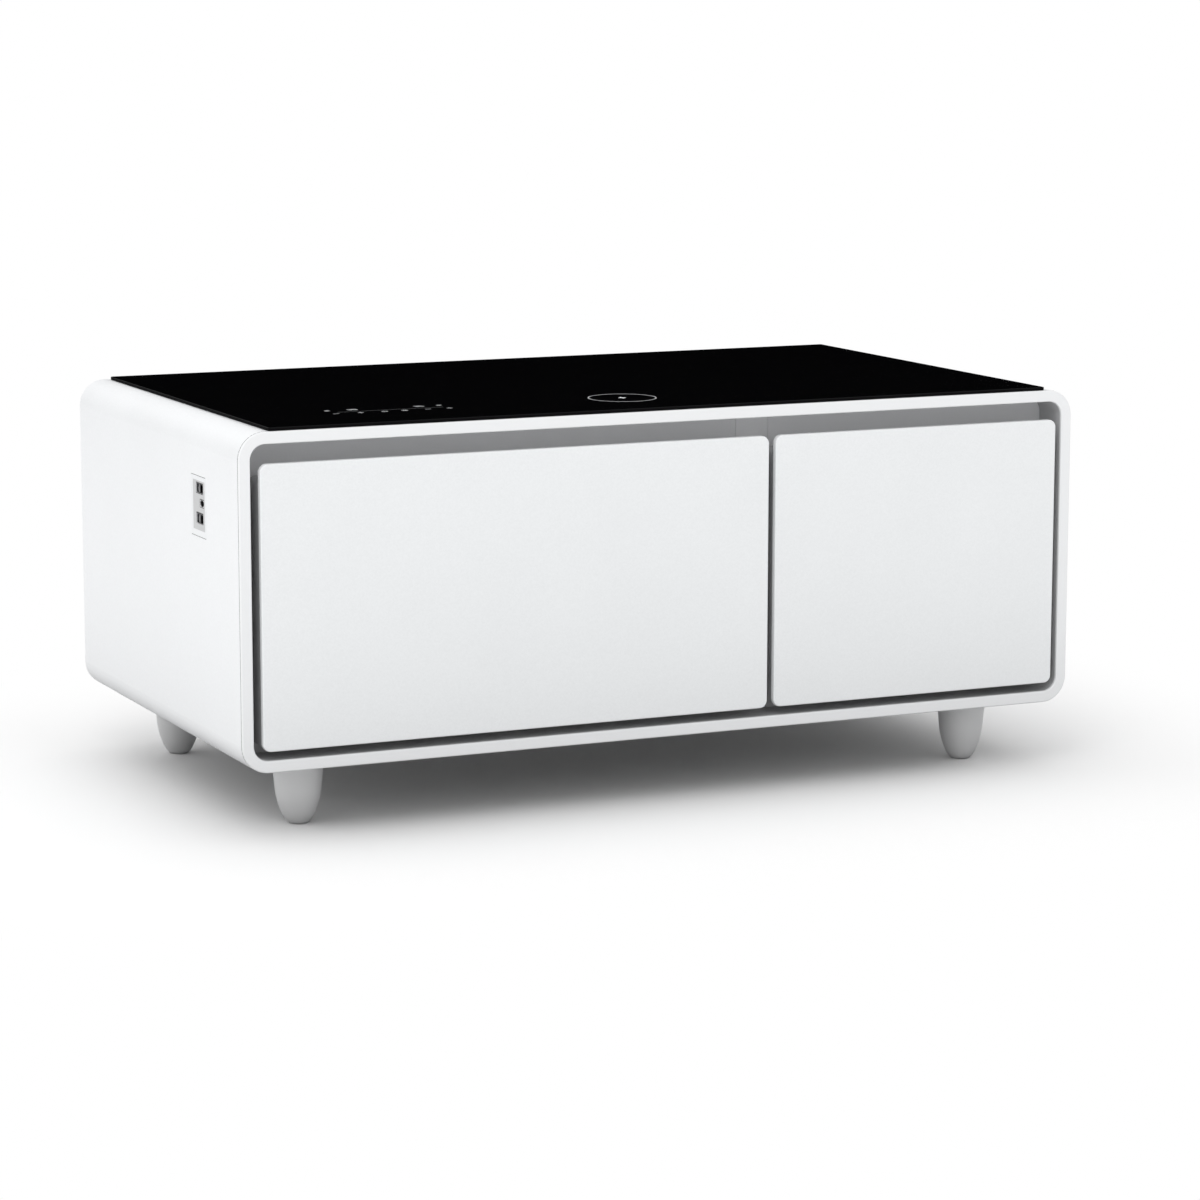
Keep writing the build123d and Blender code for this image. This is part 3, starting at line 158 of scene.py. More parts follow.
def scaledColor(tree, given, tone):
    # colour times one plus tone times contrast
    scale = math2(tree, "MULTIPLY_ADD", tone, given.outputs["Contrast"], 1.0)
    return shadeBy(tree, given.outputs["Color"], scale)


def closeEffect(tree, given, out, color, gloss, height):
    # roughness is its middle value plus gloss times spread
    rough = math2(tree, "MULTIPLY_ADD", gloss, given.outputs["Rough Spread"], given.outputs["Rough"])
    tree.links.new(color, out.inputs["Color"])
    tree.links.new(rough, out.inputs["Rough"])
    tree.links.new(height, out.inputs["Height"])
    return tree


def noise(tree, where, scale, detail, **more):
    # fractal noise, about 0.5 in the middle, of the place times scale
    node = put(tree, "ShaderNodeTexNoise", {"Vector": where, "Scale": scale, "Detail": detail, **more})
    return node.outputs["Fac"]


def makeGrainGroup(look):
    # fine spray or moulding grain: two sizes of noise shift colour, roughness and height
    tree, given, out = newEffect("sprayGrain", "Grain")
    where = given.outputs["Vector"]
    fine = noise(tree, where, given.outputs["Grain"], 2.0, Roughness=0.6)
    speck = math2(tree, "SUBTRACT", fine, 0.5)
    cloud = math2(tree, "SUBTRACT", noise(tree, where, look["cloudScale"], 3.0), 0.5)
    both = math2(tree, "MULTIPLY_ADD", cloud, look["cloudShare"], speck)
    color = scaledColor(tree, given, both)
    return closeEffect(tree, given, out, color, math2(tree, "ADD", speck, cloud), fine)


def makeBrushedGroup(look):
    # drawn or rolled metal: noise stretched along one axis gives hair lines, with faint cloudy oxide
    tree, given, out = newEffect("drawnMetal", "Stretch", "Vector")
    where = given.outputs["Vector"]
    pulled = put(tree, "ShaderNodeVectorMath", {0: where, 1: given.outputs["Stretch"]}, operation="MULTIPLY")
    hair = noise(tree, pulled.outputs[0], 1.0, 4.0, Roughness=0.7)
    strand = math2(tree, "SUBTRACT", hair, 0.5)
    haze = math2(tree, "SUBTRACT", noise(tree, where, look["hazeScale"], 4.0), 0.5)
    both = math2(tree, "ADD", strand, haze)
    return closeEffect(tree, given, out, scaledColor(tree, given, both), both, hair)


def makeSpangleGroup(look):
    # zinc coat: flat crystal patches of slightly different tone and gloss
    tree, given, out = newEffect("zincSpangle", "Patch")
    where = given.outputs["Vector"]
    bend = put(tree, "ShaderNodeTexNoise", {"Vector": where, "Scale": look["bendScale"], "Detail": 2.0})
    wander = shadeBy(tree, bend.outputs["Color"], look["bendReach"])
    spot = put(tree, "ShaderNodeVectorMath", {0: where, 1: wander}, operation="ADD")
    crystal = put(tree, "ShaderNodeTexVoronoi", {"Vector": spot.outputs[0], "Scale": given.outputs["Patch"]})
    apart = put(tree, "ShaderNodeSeparateColor", {"Color": crystal.outputs["Color"]})
    patch = math2(tree, "SUBTRACT", apart.outputs[0], 0.5)
    gloss = math2(tree, "SUBTRACT", apart.outputs[1], 0.5)
    return closeEffect(tree, given, out, scaledColor(tree, given, patch), gloss, bend.outputs["Fac"])


def makeCellGroup(look):
    # blown foam: rounded cells with darker walls
    tree, given, out = newEffect("foamCells", "Cell")
    where = given.outputs["Vector"]
    cell = put(tree, "ShaderNodeTexVoronoi", {"Vector": where, "Scale": given.outputs["Cell"]})
    depth = math2(tree, "SUBTRACT", 0.5, cell.outputs["Distance"])
    tint = math2(tree, "SUBTRACT", noise(tree, where, look["tintScale"], 4.0), 0.5)
    color = scaledColor(tree, given, math2(tree, "ADD", depth, tint))
    return closeEffect(tree, given, out, color, depth, depth)


def makeBoardGroup(look):
    # circuit board: lacquer over a grid of tracks, with small bright pads at some crossings
    tree, given, out = newEffect("boardTracks", "Pitch")
    corner = {"Vector": given.outputs["Vector"], "Scale": given.outputs["Pitch"]}
    track = put(tree, "ShaderNodeTexVoronoi", corner, distance="MANHATTAN", feature="F1")
    away = track.outputs["Distance"]
    edges = [put(tree, "ShaderNodeMapRange", {0: away, 1: start, 2: stop, 3: 0.0, 4: 1.0}).outputs[0]
             for start, stop in (look["trackEdge"], look["padEdge"])]
    blend = {0: edges[1], 6: scaledColor(tree, given, edges[0]), 7: look["solder"]}
    solder = put(tree, "ShaderNodeMix", blend, data_type="RGBA")
    return closeEffect(tree, given, out, solder.outputs[2], edges[0], edges[0])


effectGroups = {
    "grain": makeGrainGroup(effectLook),
    "brushed": makeBrushedGroup(effectLook),
    "spangle": makeSpangleGroup(effectLook),
    "cells": makeCellGroup(effectLook),
    "board": makeBoardGroup(effectLook),
}

# size: the group's own scale socket, in patterns per metre; bump: height of the relief in metres
finishes = {
    "white_steel": {"effect": "grain", "color": (0.90, 0.912, 0.925), "size": 420, "contrast": 0.1,
                    "rough": 0.42, "spread": 0.1, "bump": 0.00004},
    "white_frame": {"effect": "grain", "color": (0.865, 0.875, 0.885), "size": 900, "contrast": 0.03,
                    "rough": 0.4, "spread": 0.08, "bump": 0.00002},
    "white_front": {"effect": "grain", "color": (0.855, 0.87, 0.88), "size": 420, "contrast": 0.1,
                    "rough": 0.45, "spread": 0.1, "bump": 0.00004},
    "grey_moulding": {"effect": "grain", "color": (0.4, 0.403, 0.41), "size": 1100, "contrast": 0.08,
                      "rough": 0.55, "spread": 0.1, "bump": 0.00005},
    "seal_grey": {"effect": "grain", "color": (0.52, 0.53, 0.54), "size": 1500, "contrast": 0.06,
                  "rough": 0.6, "spread": 0.08, "bump": 0.00002},
    "room_white": {"effect": "grain", "color": (0.86, 0.875, 0.89), "size": 260, "contrast": 0.03,
                   "rough": 0.3, "spread": 0.08, "bump": 0.00003},
    "bin_clear_white": {"effect": "grain", "color": (0.83, 0.86, 0.89), "size": 500, "contrast": 0.03,
                        "rough": 0.28, "spread": 0.08, "bump": 0.00002},
    "foam": {"effect": "cells", "color": (0.84, 0.78, 0.56), "size": 420, "contrast": 0.25,
             "rough": 0.85, "spread": 0.1, "bump": 0.0004},
    "tape": {"effect": "grain", "color": (0.04, 0.04, 0.04), "size": 1200, "contrast": 0.1,
             "rough": 0.7, "spread": 0.1, "bump": 0.00003},
    "zinc_steel": {"effect": "spangle", "color": (0.62, 0.63, 0.64), "size": 110, "contrast": 0.16,
                   "rough": 0.36, "spread": 0.16, "bump": 0.00002, "metal": 1.0},
    "back_grey": {"effect": "grain", "color": (0.66, 0.67, 0.68), "size": 800, "contrast": 0.06,
                  "rough": 0.48, "spread": 0.1, "bump": 0.00004},
    "screw_steel": {"effect": "brushed", "color": (0.58, 0.58, 0.59), "stretch": (4000, 4000, 600),
                    "contrast": 0.2, "rough": 0.3, "spread": 0.15, "bump": 0.00002, "metal": 1.0},
    "foot_grey": {"effect": "brushed", "color": (0.955, 0.96, 0.965), "stretch": (220, 220, 2600),
                  "contrast": 0.06, "rough": 0.42, "spread": 0.1, "bump": 0.00001},
    "rubber_black": {"effect": "grain", "color": (0.05, 0.05, 0.05), "size": 1300, "contrast": 0.15,
                     "rough": 0.75, "spread": 0.1, "bump": 0.00005},
    "compressor_black": {"effect": "grain", "color": (0.025, 0.025, 0.028), "size": 240, "contrast": 0.15,
                         "rough": 0.28, "spread": 0.12, "bump": 0.0002},
    "black_plastic": {"effect": "grain", "color": (0.035, 0.036, 0.038), "size": 900, "contrast": 0.15,
                      "rough": 0.5, "spread": 0.12, "bump": 0.00005},
    "fan_white": {"effect": "grain", "color": (0.82, 0.83, 0.84), "size": 700, "contrast": 0.03,
                  "rough": 0.4, "spread": 0.08, "bump": 0.00003},
    "coil_aluminium": {"effect": "brushed", "color": (0.78, 0.79, 0.80), "stretch": (180, 3200, 3200),
                       "contrast": 0.12, "rough": 0.34, "spread": 0.12, "bump": 0.00002, "metal": 1.0},
    "copper": {"effect": "brushed", "color": (0.78, 0.42, 0.26), "stretch": (900, 900, 900),
               "contrast": 0.2, "rough": 0.3, "spread": 0.15, "bump": 0.00001, "metal": 1.0},
    "board_green": {"effect": "board", "color": (0.03, 0.17, 0.08), "size": 230, "contrast": 0.6,
                    "rough": 0.35, "spread": 0.1, "bump": 0.00003},
    "socket_white": {"effect": "grain", "color": (0.87, 0.885, 0.90), "size": 1400, "contrast": 0.03,
                     "rough": 0.35, "spread": 0.06, "bump": 0.00001},
    "port_metal": {"effect": "brushed", "color": (0.14, 0.14, 0.145), "stretch": (300, 5000, 5000),
                   "contrast": 0.2, "rough": 0.3, "spread": 0.12, "bump": 0.00001, "metal": 1.0},
}
finishes["fascia_grey"] = {**finishes["grey_moulding"], "color": (0.86, 0.865, 0.88)}
finishes["film_grey"] = {**finishes["socket_white"], "color": (0.58, 0.585, 0.59)}
finishes["spring_grey"] = {**finishes["port_metal"], "color": (0.4, 0.4, 0.4), "metal": 0.0}
finishes["surround_grey"] = {**finishes["grey_moulding"], "color": (0.53, 0.533, 0.54)}
sizeSocket = {"grain": "Grain", "spangle": "Patch", "cells": "Cell", "board": "Pitch"}


def newMaterial(name):
    # a material with its node tree, its shader and the place on the object
    material = bpy.data.materials.new(name)
    material.use_nodes = True
    tree = material.node_tree
    where = put(tree, "ShaderNodeTexCoord").outputs["Object"]
    return material, tree, tree.nodes["Principled BSDF"], where


def makeFinish(name, spec):
    # an effect group gives colour and roughness, and its height times bump gives the relief
    material, tree, shader, where = newMaterial(name)
    effect = put(tree, "ShaderNodeGroup", node_tree=effectGroups[spec["effect"]])
    tree.links.new(where, effect.inputs["Vector"])
    effect.inputs["Color"].default_value = (*spec["color"], 1)
    effect.inputs["Contrast"].default_value = spec["contrast"]
    effect.inputs["Rough"].default_value = spec["rough"]
    effect.inputs["Rough Spread"].default_value = spec["spread"]
    if spec["effect"] == "brushed":
        effect.inputs["Stretch"].default_value = spec["stretch"]
    else:
        effect.inputs[sizeSocket[spec["effect"]]].default_value = spec["size"]
    relief = put(tree, "ShaderNodeBump", {"Height": effect.outputs["Height"], "Distance": spec["bump"]})
    tree.links.new(effect.outputs["Color"], shader.inputs["Base Color"])
    tree.links.new(effect.outputs["Rough"], shader.inputs["Roughness"])
    tree.links.new(relief.outputs["Normal"], shader.inputs["Normal"])
    shader.inputs["Metallic"].default_value = spec.get("metal", 0.0)
    shader.inputs["Specular IOR Level"].default_value = spec.get("specular", 0.5)
    return material


glassLook = {
    "color": (0.0022, 0.0022, 0.0026),
    "rough": 0.04,
    "smudge": 0.05,  # how much faint wiping marks raise the roughness
    "edge": 0.9,  # roughness of the ground edges
    "specular": 0.11,
    "stretch": (3.0, 14.0, 1.0),  # of the wiping streaks, which then turn by so many degrees
    "turn": 24,
    "streakScale": 3.0,
    "speckScale": 900.0,
    "speckShare": 0.4,
    "faceFrom": 0.5,  # upward share of the normal between the edges and the face
    "faceTo": 0.9,
}


def makeGlassFinish(look):
    # opaque black glass: a polished face with barely visible wiping streaks in its gloss, and dull ground
    # edges, told apart by how far the surface faces up
    material, tree, shader, where = newMaterial("black_glass")
    turned = {"Vector": where, "Scale": look["stretch"], "Rotation": (0, 0, math.radians(look["turn"]))}
    streak = noise(tree, put(tree, "ShaderNodeMapping", turned).outputs[0], look["streakScale"], 6.0)
    polished = math2(tree, "MULTIPLY_ADD", streak, look["smudge"], look["rough"])
    normal = put(tree, "ShaderNodeNewGeometry").outputs["True Normal"]
    up = put(tree, "ShaderNodeSeparateXYZ", {0: normal}).outputs[2]
    low, high = look["faceFrom"], look["faceTo"]
    rough = put(tree, "ShaderNodeMapRange", {0: up, 1: low, 2: high, 3: look["edge"], 4: polished})
    tree.links.new(rough.outputs[0], shader.inputs["Roughness"])
    speck = noise(tree, where, look["speckScale"], 1.0)
    tone = math2(tree, "MULTIPLY_ADD", speck, look["speckShare"], 1.0 - look["speckShare"] / 2)
    tree.links.new(shadeBy(tree, look["color"], tone), shader.inputs["Base Color"])
    shader.inputs["Specular IOR Level"].default_value = look["specular"]
    return material


finishOf = {name: makeFinish(name, spec) for name, spec in finishes.items()}
finishOf["black_glass"] = makeGlassFinish(glassLook)

# nodes that look different from their record slot's finish
finishOfNode = {
    "fascia_panels": "fascia_grey",
    "divider_cover": "fascia_grey",
    "recess_surround": "surround_grey",
}


def dressNodes():
    # each node gets its own finish, or that of its slot in the record
    for name, thing in nodes.items():
        thing.data.materials.clear()
        thing.data.materials.append(finishOf[finishOfNode.get(name, slotOfNode[name])])


dressNodes()
print("finishes set:", len(finishOf))


def meshObject(name, points, faces, material, body, smooth=True):
    # a named piece in a slot of the record, carried by a body
    mesh = bpy.data.meshes.new(name)
    mesh.from_pydata(points.tolist(), [], faces.tolist())
    mesh.update()
    mesh.validate()
    thing = bpy.data.objects.new(name, mesh)
    bpy.context.scene.collection.objects.link(thing)
    mesh.materials.append(material)
    mesh.polygons.foreach_set("use_smooth", np.full(len(mesh.polygons), smooth))
    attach(thing, body)
    return thing


def gridFaces(rows, columns):
    # quads of a grid that closes in both directions
    i, j = np.meshgrid(np.arange(rows), np.arange(columns), indexing="ij")
    i2, j2 = (i + 1) % rows, (j + 1) % columns
    quads = np.stack([i * columns + j, i2 * columns + j, i2 * columns + j2, i * columns + j2], axis=-1)
    return quads.reshape(-1, 4)


def roundBand(box, across, corner, steps, reach, depth):
    # points and faces of a closed section carried round a rounded rectangle: each corner is an arc about a
    # fixed centre, reach is a section point's distance from that centre, depth its place along axis across
    first = 1 - across
    low, high = box
    turn = np.linspace(0, math.pi / 2, steps)
    angles = np.concatenate([turn + k * math.pi / 2 for k in range(4)])
    sides = [high[first] - corner, low[first] + corner]
    centreA = np.repeat([sides[0], sides[1], sides[1], sides[0]], steps)
    centreB = np.repeat([high[2] - corner, low[2] + corner], 2 * steps)
    a = centreA[:, None] + np.cos(angles)[:, None] * reach
    b = centreB[:, None] + np.sin(angles)[:, None] * reach
    c = np.broadcast_to(depth, a.shape)
    points = np.stack([a, c, b] if across == 1 else [c, a, b], axis=-1).reshape(-1, 3)
    faces = gridFaces(*a.shape)
    return points, faces[:, ::-1] if across == 1 else faces


sealShape = {
    "cornerRadius": 14.0,
    "height": 8.4,
    "arcSteps": 10,
    # section: distance in from the outer edge, then height over the drawer's body
    "profile": [
        (0.5, 0.05), (0.1, 0.35), (0.1, 1.1), (0.6, 1.5), (2.4, 1.6), (3.0, 2.0), (2.1, 2.7), (3.0, 3.4),
        (2.1, 4.1), (2.6, 4.7), (0.7, 4.9), (0.1, 5.4), (0.0, 6.6), (0.2, 7.9), (0.7, 8.3), (3.0, 8.4),
        (6.0, 8.25), (9.0, 8.4), (11.3, 8.3), (11.8, 7.9), (12.0, 6.6), (11.9, 5.4), (11.3, 4.9), (7.0, 4.7),
        (6.3, 4.1), (7.2, 3.4), (6.3, 2.7), (7.2, 2.0), (7.0, 1.6), (11.4, 1.5), (11.9, 1.1), (11.9, 0.35),
        (11.5, 0.05),
    ],
}


def makeSeal(name, node, body, shape):
    # a bellows section round the drawer's opening
    low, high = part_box(node)
    profile = np.array(shape["profile"]) * mm
    radius = shape["cornerRadius"] * mm
    depth = high.y - shape["height"] * mm + profile[:, 1]
    points, faces = roundBand((low, high), 1, radius, shape["arcSteps"], radius - profile[:, 0], depth)
    seal = meshObject(name, points, faces, finishOf["seal_grey"], body)
    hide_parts(node)


makeSeal("leftSeal", "left_gasket", "left_drawer", sealShape)
makeSeal("rightSeal", "right_gasket", "right_drawer", sealShape)

# painted shade in the seam behind the front ring: a dark strip just out of the cabinet's outline
seamShadeStrip = {
    "cornerRadius": 31.0,
    "reach": 0.03,  # how far it stands out of the cabinet's outline
    "front": 0.3,  # distance of its middle before the shell's front edge
    "wide": 0.9,
    "deep": 0.4,
    "arcSteps": 14,
}


def makeSeamShadeStrip(look):
    # painted shade: a dark strip that stands for the shadow in the seam behind the front ring, a flat
    # rectangle carried round the cabinet's outline
    low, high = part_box("outer_shell")
    corner = look["cornerRadius"] * mm
    reach = corner + (look["reach"] - look["deep"] * np.array([0, 0, 1, 1])) * mm
    depth = low.y + (look["wide"] * np.array([-0.5, 0.5, 0.5, -0.5]) - look["front"]) * mm
    points, faces = roundBand((low, high), 1, corner, look["arcSteps"], reach, depth)
    meshObject("seamShadeStrip", points, faces, finishOf["rubber_black"], "cabinet", smooth=False)


makeSeamShadeStrip(seamShadeStrip)
print("seals made")


inkLook = {"color": (0.9, 0.92, 0.94), "grain": 1800.0, "contrast": 0.25, "rough": 0.5, "thickness": 0.06}


def makeInk(name, look, tone=1.0):
    # screen print: a fine dot noise breaks the colour up a little
    material, tree, shader, where = newMaterial(name)
    effect = put(tree, "ShaderNodeGroup", node_tree=effectGroups["grain"])
    tree.links.new(where, effect.inputs["Vector"])
    effect.inputs["Color"].default_value = (*[tone * part for part in look["color"]], 1)
    effect.inputs["Grain"].default_value = look["grain"]
    effect.inputs["Contrast"].default_value = look["contrast"]
    effect.inputs["Rough"].default_value = look["rough"]
    tree.links.new(effect.outputs["Color"], shader.inputs["Base Color"])
    tree.links.new(effect.outputs["Rough"], shader.inputs["Roughness"])
    return material


def arc(x, y, radius, start, stop, steps=14):
    # points at equal angles, in degrees, round a centre
    turn = np.radians(np.linspace(start, stop, steps))
    return np.stack([x + radius * np.cos(turn), y + radius * np.sin(turn)], axis=1)


def line(x0, y0, x1, y1):
    # the two ends of a straight stroke
    return np.array([(x0, y0), (x1, y1)], float)


def ribbon(path, width):
    # a line given width: each point moves half the width to either side, at right angles to the path
    along = np.gradient(path, axis=0)
    along /= np.linalg.norm(along, axis=1)[:, None]
    side = np.stack([-along[:, 1], along[:, 0]], axis=1) * width / 2
    points = np.stack([path - side, path + side], axis=1).reshape(-1, 2)
    i = np.arange(len(path) - 1) * 2
    return points, np.stack([i, i + 2, i + 3, i + 1], axis=1)


def printOn(name, ribbons, height, material, thickness):
    # all ribbons become one mesh that lies at one height, facing up
    counts = np.cumsum([0] + [len(points) for points, _ in ribbons])
    flat = np.concatenate([points for points, _ in ribbons])
    points = np.column_stack([flat, np.full(len(flat), height)])
    faces = np.concatenate([quads + first for (_, quads), first in zip(ribbons, counts)])
    thing = meshObject(name, points, faces, material, "cabinet", smooth=False)
    body = thing.modifiers.new("inkBody", "SOLIDIFY")
    body.thickness = thickness
    body.offset = 1.0


touchMarks = {
    "lowerRow": -194.7,
    "upperRow": -164.5,
    "dividerRow": -182.0,
    "dividerSpan": (-372.0, -243.0),
    "dividerWidth": 0.3,
    "half": 3.6,  # half the size of a mark
    "stroke": 0.7,
    "lower": {"minus": (-377.6, -266.6), "plus": (-348.2, -240.2), "power": (-319.3,), "lamp": (-295.0,)},
    "upper": {"frost": (-377.3, -241.0)},
    "readouts": {-347.5: "38", -266.3: "36"},
    "digit": (4.6, 8.0),
    "digitPitch": 6.6,
}
markLines = {
    "minus": [line(-1, 0, 1, 0)],
    "plus": [line(-1, 0, 1, 0), line(0, -1, 0, 1)],
    "power": [arc(0, -0.1, 0.9, 125, 415, 24), line(0, 0.15, 0, 1.05)],
    "lamp": [arc(0, 0, 0.48, 0, 360, 24)] + [
        line(0.7 * math.cos(a), 0.7 * math.sin(a), 1.1 * math.cos(a), 1.1 * math.sin(a))
        for a in np.radians(range(0, 360, 45))],
    "frost": [line(-math.cos(a), -math.sin(a), math.cos(a), math.sin(a)) for a in np.radians((30, 90, 150))],
}
# seven bars of a digit on a box 2 wide and 2 high: top, upper right, lower right, bottom, lower left,
# upper left, middle
barLines = [line(-0.8, 1, 0.8, 1), line(1, 0.9, 1, 0.1), line(1, -0.1, 1, -0.9), line(-0.8, -1, 0.8, -1),
            line(-1, -0.1, -1, -0.9), line(-1, 0.9, -1, 0.1), line(-0.8, 0, 0.8, 0)]
barsOf = {"3": (0, 1, 2, 3, 6), "6": (0, 2, 3, 4, 5, 6), "8": (0, 1, 2, 3, 4, 5, 6)}


def makeTouchMarks(look, glassTop):
    # every mark is its unit lines, scaled and moved to its place, then widened to ribbons
    half, stroke = look["half"], look["stroke"]
    ribbons = []
    rows = ((look["lowerRow"], look["lower"]), (look["upperRow"], look["upper"]))
    for row, marks in rows:
        for kind, places in marks.items():
            for x in places:
                ribbons += [ribbon(path * half + (x, row), stroke) for path in markLines[kind]]
    wide, tall = look["digit"]
    for x, text in look["readouts"].items():
        for k, digit in enumerate(text):
            middle = (x + (k - 0.5) * look["digitPitch"], look["upperRow"])
            size = (wide / 2, tall / 2)
            ribbons += [ribbon(barLines[bar] * size + middle, stroke) for bar in barsOf[digit]]
    scaled = [(points * mm, quads) for points, quads in ribbons]
    printOn("touchMarks", scaled, glassTop, inkOf["mark"], inkLook["thickness"] * mm)
    left, right = look["dividerSpan"]
    rule = ribbon(line(left, look["dividerRow"], right, look["dividerRow"]), look["dividerWidth"])
    printOn("touchRule", [(rule[0] * mm, rule[1])], glassTop, inkOf["faint"],
            inkLook["thickness"] * mm)


chargeMark = {
    "centre": (-17.4, -181.3),
    "radius": 39.5,
    "stroke": 0.8,
    "steps": 96,
    # lightning bolt: half width and half height, then the left and right edge of each of its two prongs
    "boltHalf": (5.6, 8.0),
    "boltLeft": [(0.35, 1.0), (-1.0, -0.15), (-0.2, -0.15), (-0.35, -1.0)],
    "boltRight": [(0.35, 1.0), (0.2, 0.15), (1.0, 0.15), (-0.35, -1.0)],
}


def makeChargeMark(look, glassTop):
    # a circle round a filled bolt, over the charging coil: the bolt is a strip between its two edges
    ring = arc(0, 0, look["radius"], 0, 360, look["steps"] + 1)
    sides = np.stack([look["boltLeft"], look["boltRight"]], axis=1).reshape(-1, 2) * look["boltHalf"]
    bolt = (sides, np.array([(2, 3, 1, 0), (4, 5, 3, 2), (6, 7, 5, 4)]))
    shapes = (ribbon(ring, look["stroke"]), bolt)
    ribbons = [((points + look["centre"]) * mm, quads) for points, quads in shapes]
    printOn("chargeMark", ribbons, glassTop, inkOf["mark"], inkLook["thickness"] * mm)


inkOf = {"mark": makeInk("socket_white", inkLook), "faint": makeInk("mark_print_faint", inkLook, 0.22)}
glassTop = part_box("glass_top")[1].z
makeTouchMarks(touchMarks, glassTop)
makeChargeMark(chargeMark, glassTop)
print("glass printed")


socketFilm = {
    # each: y from and to, z from and to
    "film": [(-173.5, -134.0, 334.0, 390.0)],
    "mouths": [(-168.6, -145.0, 375.3, 388.1), (-168.6, -145.0, 341.4, 354.3),
               (-171.4, -157.2, 360.4, 370.2)],
    "openings": [(-168.0, -145.9, 376.0, 387.2), (-168.0, -145.9, 341.6, 352.8),
                 (-170.6, -158.2, 361.1, 369.1)],
    # painted shadow: dark strips stand for the shade in the joints above and below the plate
    "shadeLines": [(-176.5, -127.5, 395.0, 395.55), (-176.5, -127.5, 326.35, 326.9)],
    "thickness": 0.12,
    "shadeLineHeight": 0.04,
}


def makeWindowed(name, plates, windows, thickness, finish):
    # rectangles with rectangular windows, flat on the socket plate: a grid split at every edge, of which the
    # cells inside a rectangle and outside all windows stay
    edges = np.array(plates + windows)
    ys = np.unique(edges[:, :2])
    zs = np.unique(edges[:, 2:])
    y, z = np.meshgrid((ys[1:] + ys[:-1]) / 2, (zs[1:] + zs[:-1]) / 2, indexing="ij")
    solid = np.any([(y > p[0]) & (y < p[1]) & (z > p[2]) & (z < p[3]) for p in plates], axis=0)
    cut = np.any([(y > w[0]) & (y < w[1]) & (z > w[2]) & (z < w[3]) for w in windows], axis=0)
    i, j = np.nonzero(solid & ~cut)
    y, z = np.meshgrid(ys, zs, indexing="ij")
    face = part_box("usb_bezel")[0].x
    points = np.stack([np.full(y.size, face), y.ravel() * mm, z.ravel() * mm], axis=1)
    n = len(zs)
    faces = np.stack([i * n + j, i * n + j + 1, (i + 1) * n + j + 1, (i + 1) * n + j], axis=1)
    used = np.unique(faces)
    faces = np.searchsorted(used, faces)
    film = meshObject(name, points[used], faces, finishOf[finish], "cabinet", smooth=False)
    body = film.modifiers.new("filmBody", "SOLIDIFY")
    body.thickness = thickness * mm
    body.offset = 1.0


makeWindowed("socketFilm", socketFilm["film"], socketFilm["mouths"], socketFilm["thickness"],
             "film_grey")
makeWindowed("socketMouths", socketFilm["mouths"], socketFilm["openings"], socketFilm["thickness"],
             "black_plastic")
# painted shadow lines along the plate's top and bottom joints
makeWindowed("socketShadeLines", socketFilm["shadeLines"], [], socketFilm["shadeLineHeight"],
             "black_plastic")

# painted shade in the gap round the socket plate: a dark cord behind the shell's sheet
plateShadeCord = {
    "depth": 1.35,  # distance in from the plate's face, behind the shell's sheet
    "offset": 0.45,  # how far its middle lies outside the plate's edge
    "section": 0.8,
    "corner": 3.0,
    "arcSteps": 8,
    "roundSteps": 8,
}


def makePlateShadeCord(look):
    # painted shade: a dark cord round the socket plate that darkens the gap round it, a circle of half the
    # section carried round a rounded rectangle
    low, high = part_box("usb_bezel")
    corner = look["corner"] * mm
    around = np.linspace(0, 2 * math.pi, look["roundSteps"], endpoint=False)
    reach = corner + (look["offset"] + np.cos(around) * look["section"] / 2) * mm
    depth = low.x + (look["depth"] + np.sin(around) * look["section"] / 2) * mm
    points, faces = roundBand((low, high), 0, corner, look["arcSteps"], reach, depth)
    meshObject("plateShadeCord", points, faces, finishOf["rubber_black"], "cabinet")


makePlateShadeCord(plateShadeCord)

socketSprings = {
    # each strip: its middle's y, width, distance in from the plate, finish
    "strips": [(-154.0, 1.3, 0.5, "spring_grey"), (-152.5, 9.0, 0.8, "port_metal")],
    "span": 9.6,
    "centres": (381.55, 347.15),  # heights of the two wide sockets
    "bow": 0.5,
    "sheet": 0.25,
    "steps": 9,
}


def makeSocketSprings(look):
    # contact springs: strips whose depth follows a half sine between their two ends
    s = np.linspace(0, 1, look["steps"])
    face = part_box("usb_bezel")[0].x
    i = np.arange(len(s) - 1) * 2
    for k, centre in enumerate(look["centres"]):
        for j, (middle, width, mouth, finish) in enumerate(look["strips"]):
            x = face + (mouth + look["bow"] * (1 - np.sin(math.pi * s))) * mm
            z = (centre + (s - 0.5) * look["span"]) * mm
            y = (np.array([-0.5, 0.5]) * width + middle) * mm
            points = np.stack([np.repeat(x, 2), np.tile(y, len(s)), np.repeat(z, 2)], axis=1)
            faces = np.stack([i + 1, i, i + 2, i + 3], axis=1)
            name = f"socketSpring{k + 1}{'ab'[j]}"
            spring = meshObject(name, points, faces, finishOf[finish], "cabinet")
            body = spring.modifiers.new("springBody", "SOLIDIFY")
            body.thickness = look["sheet"] * mm
            body.offset = 0.0


makeSocketSprings(socketSprings)
print("socket details made")


studio = {
    "ambient": 0.79,
    "skyLift": 0.32,  # how much brighter the light from straight above is than from the side
    "leftLift": 0.26,  # how much brighter the light from the left is
    "floorColor": 0.97,
    "floorHalf": 15.0,
    "whiteFrom": 0.05,  # metres outside the table where the floor starts to turn plain white
    "whiteTo": 0.45,
    "underTone": 0.04,  # floor under the table as other surfaces are lit by it, so that the shade stays deep
    "underReach": 0.3,
    "keyPlace": (-2.4, -3.0, 3.8),
    "keySize": 2.6,
    "keyPower": 34.0,
    "flagFrom": 0.02,  # dark cloth that only mirrors see, behind the table: height of its lower edge
    "flagTo": 1.5,
    "flagY": 3.2,
    "flagHalf": 4.5,
}


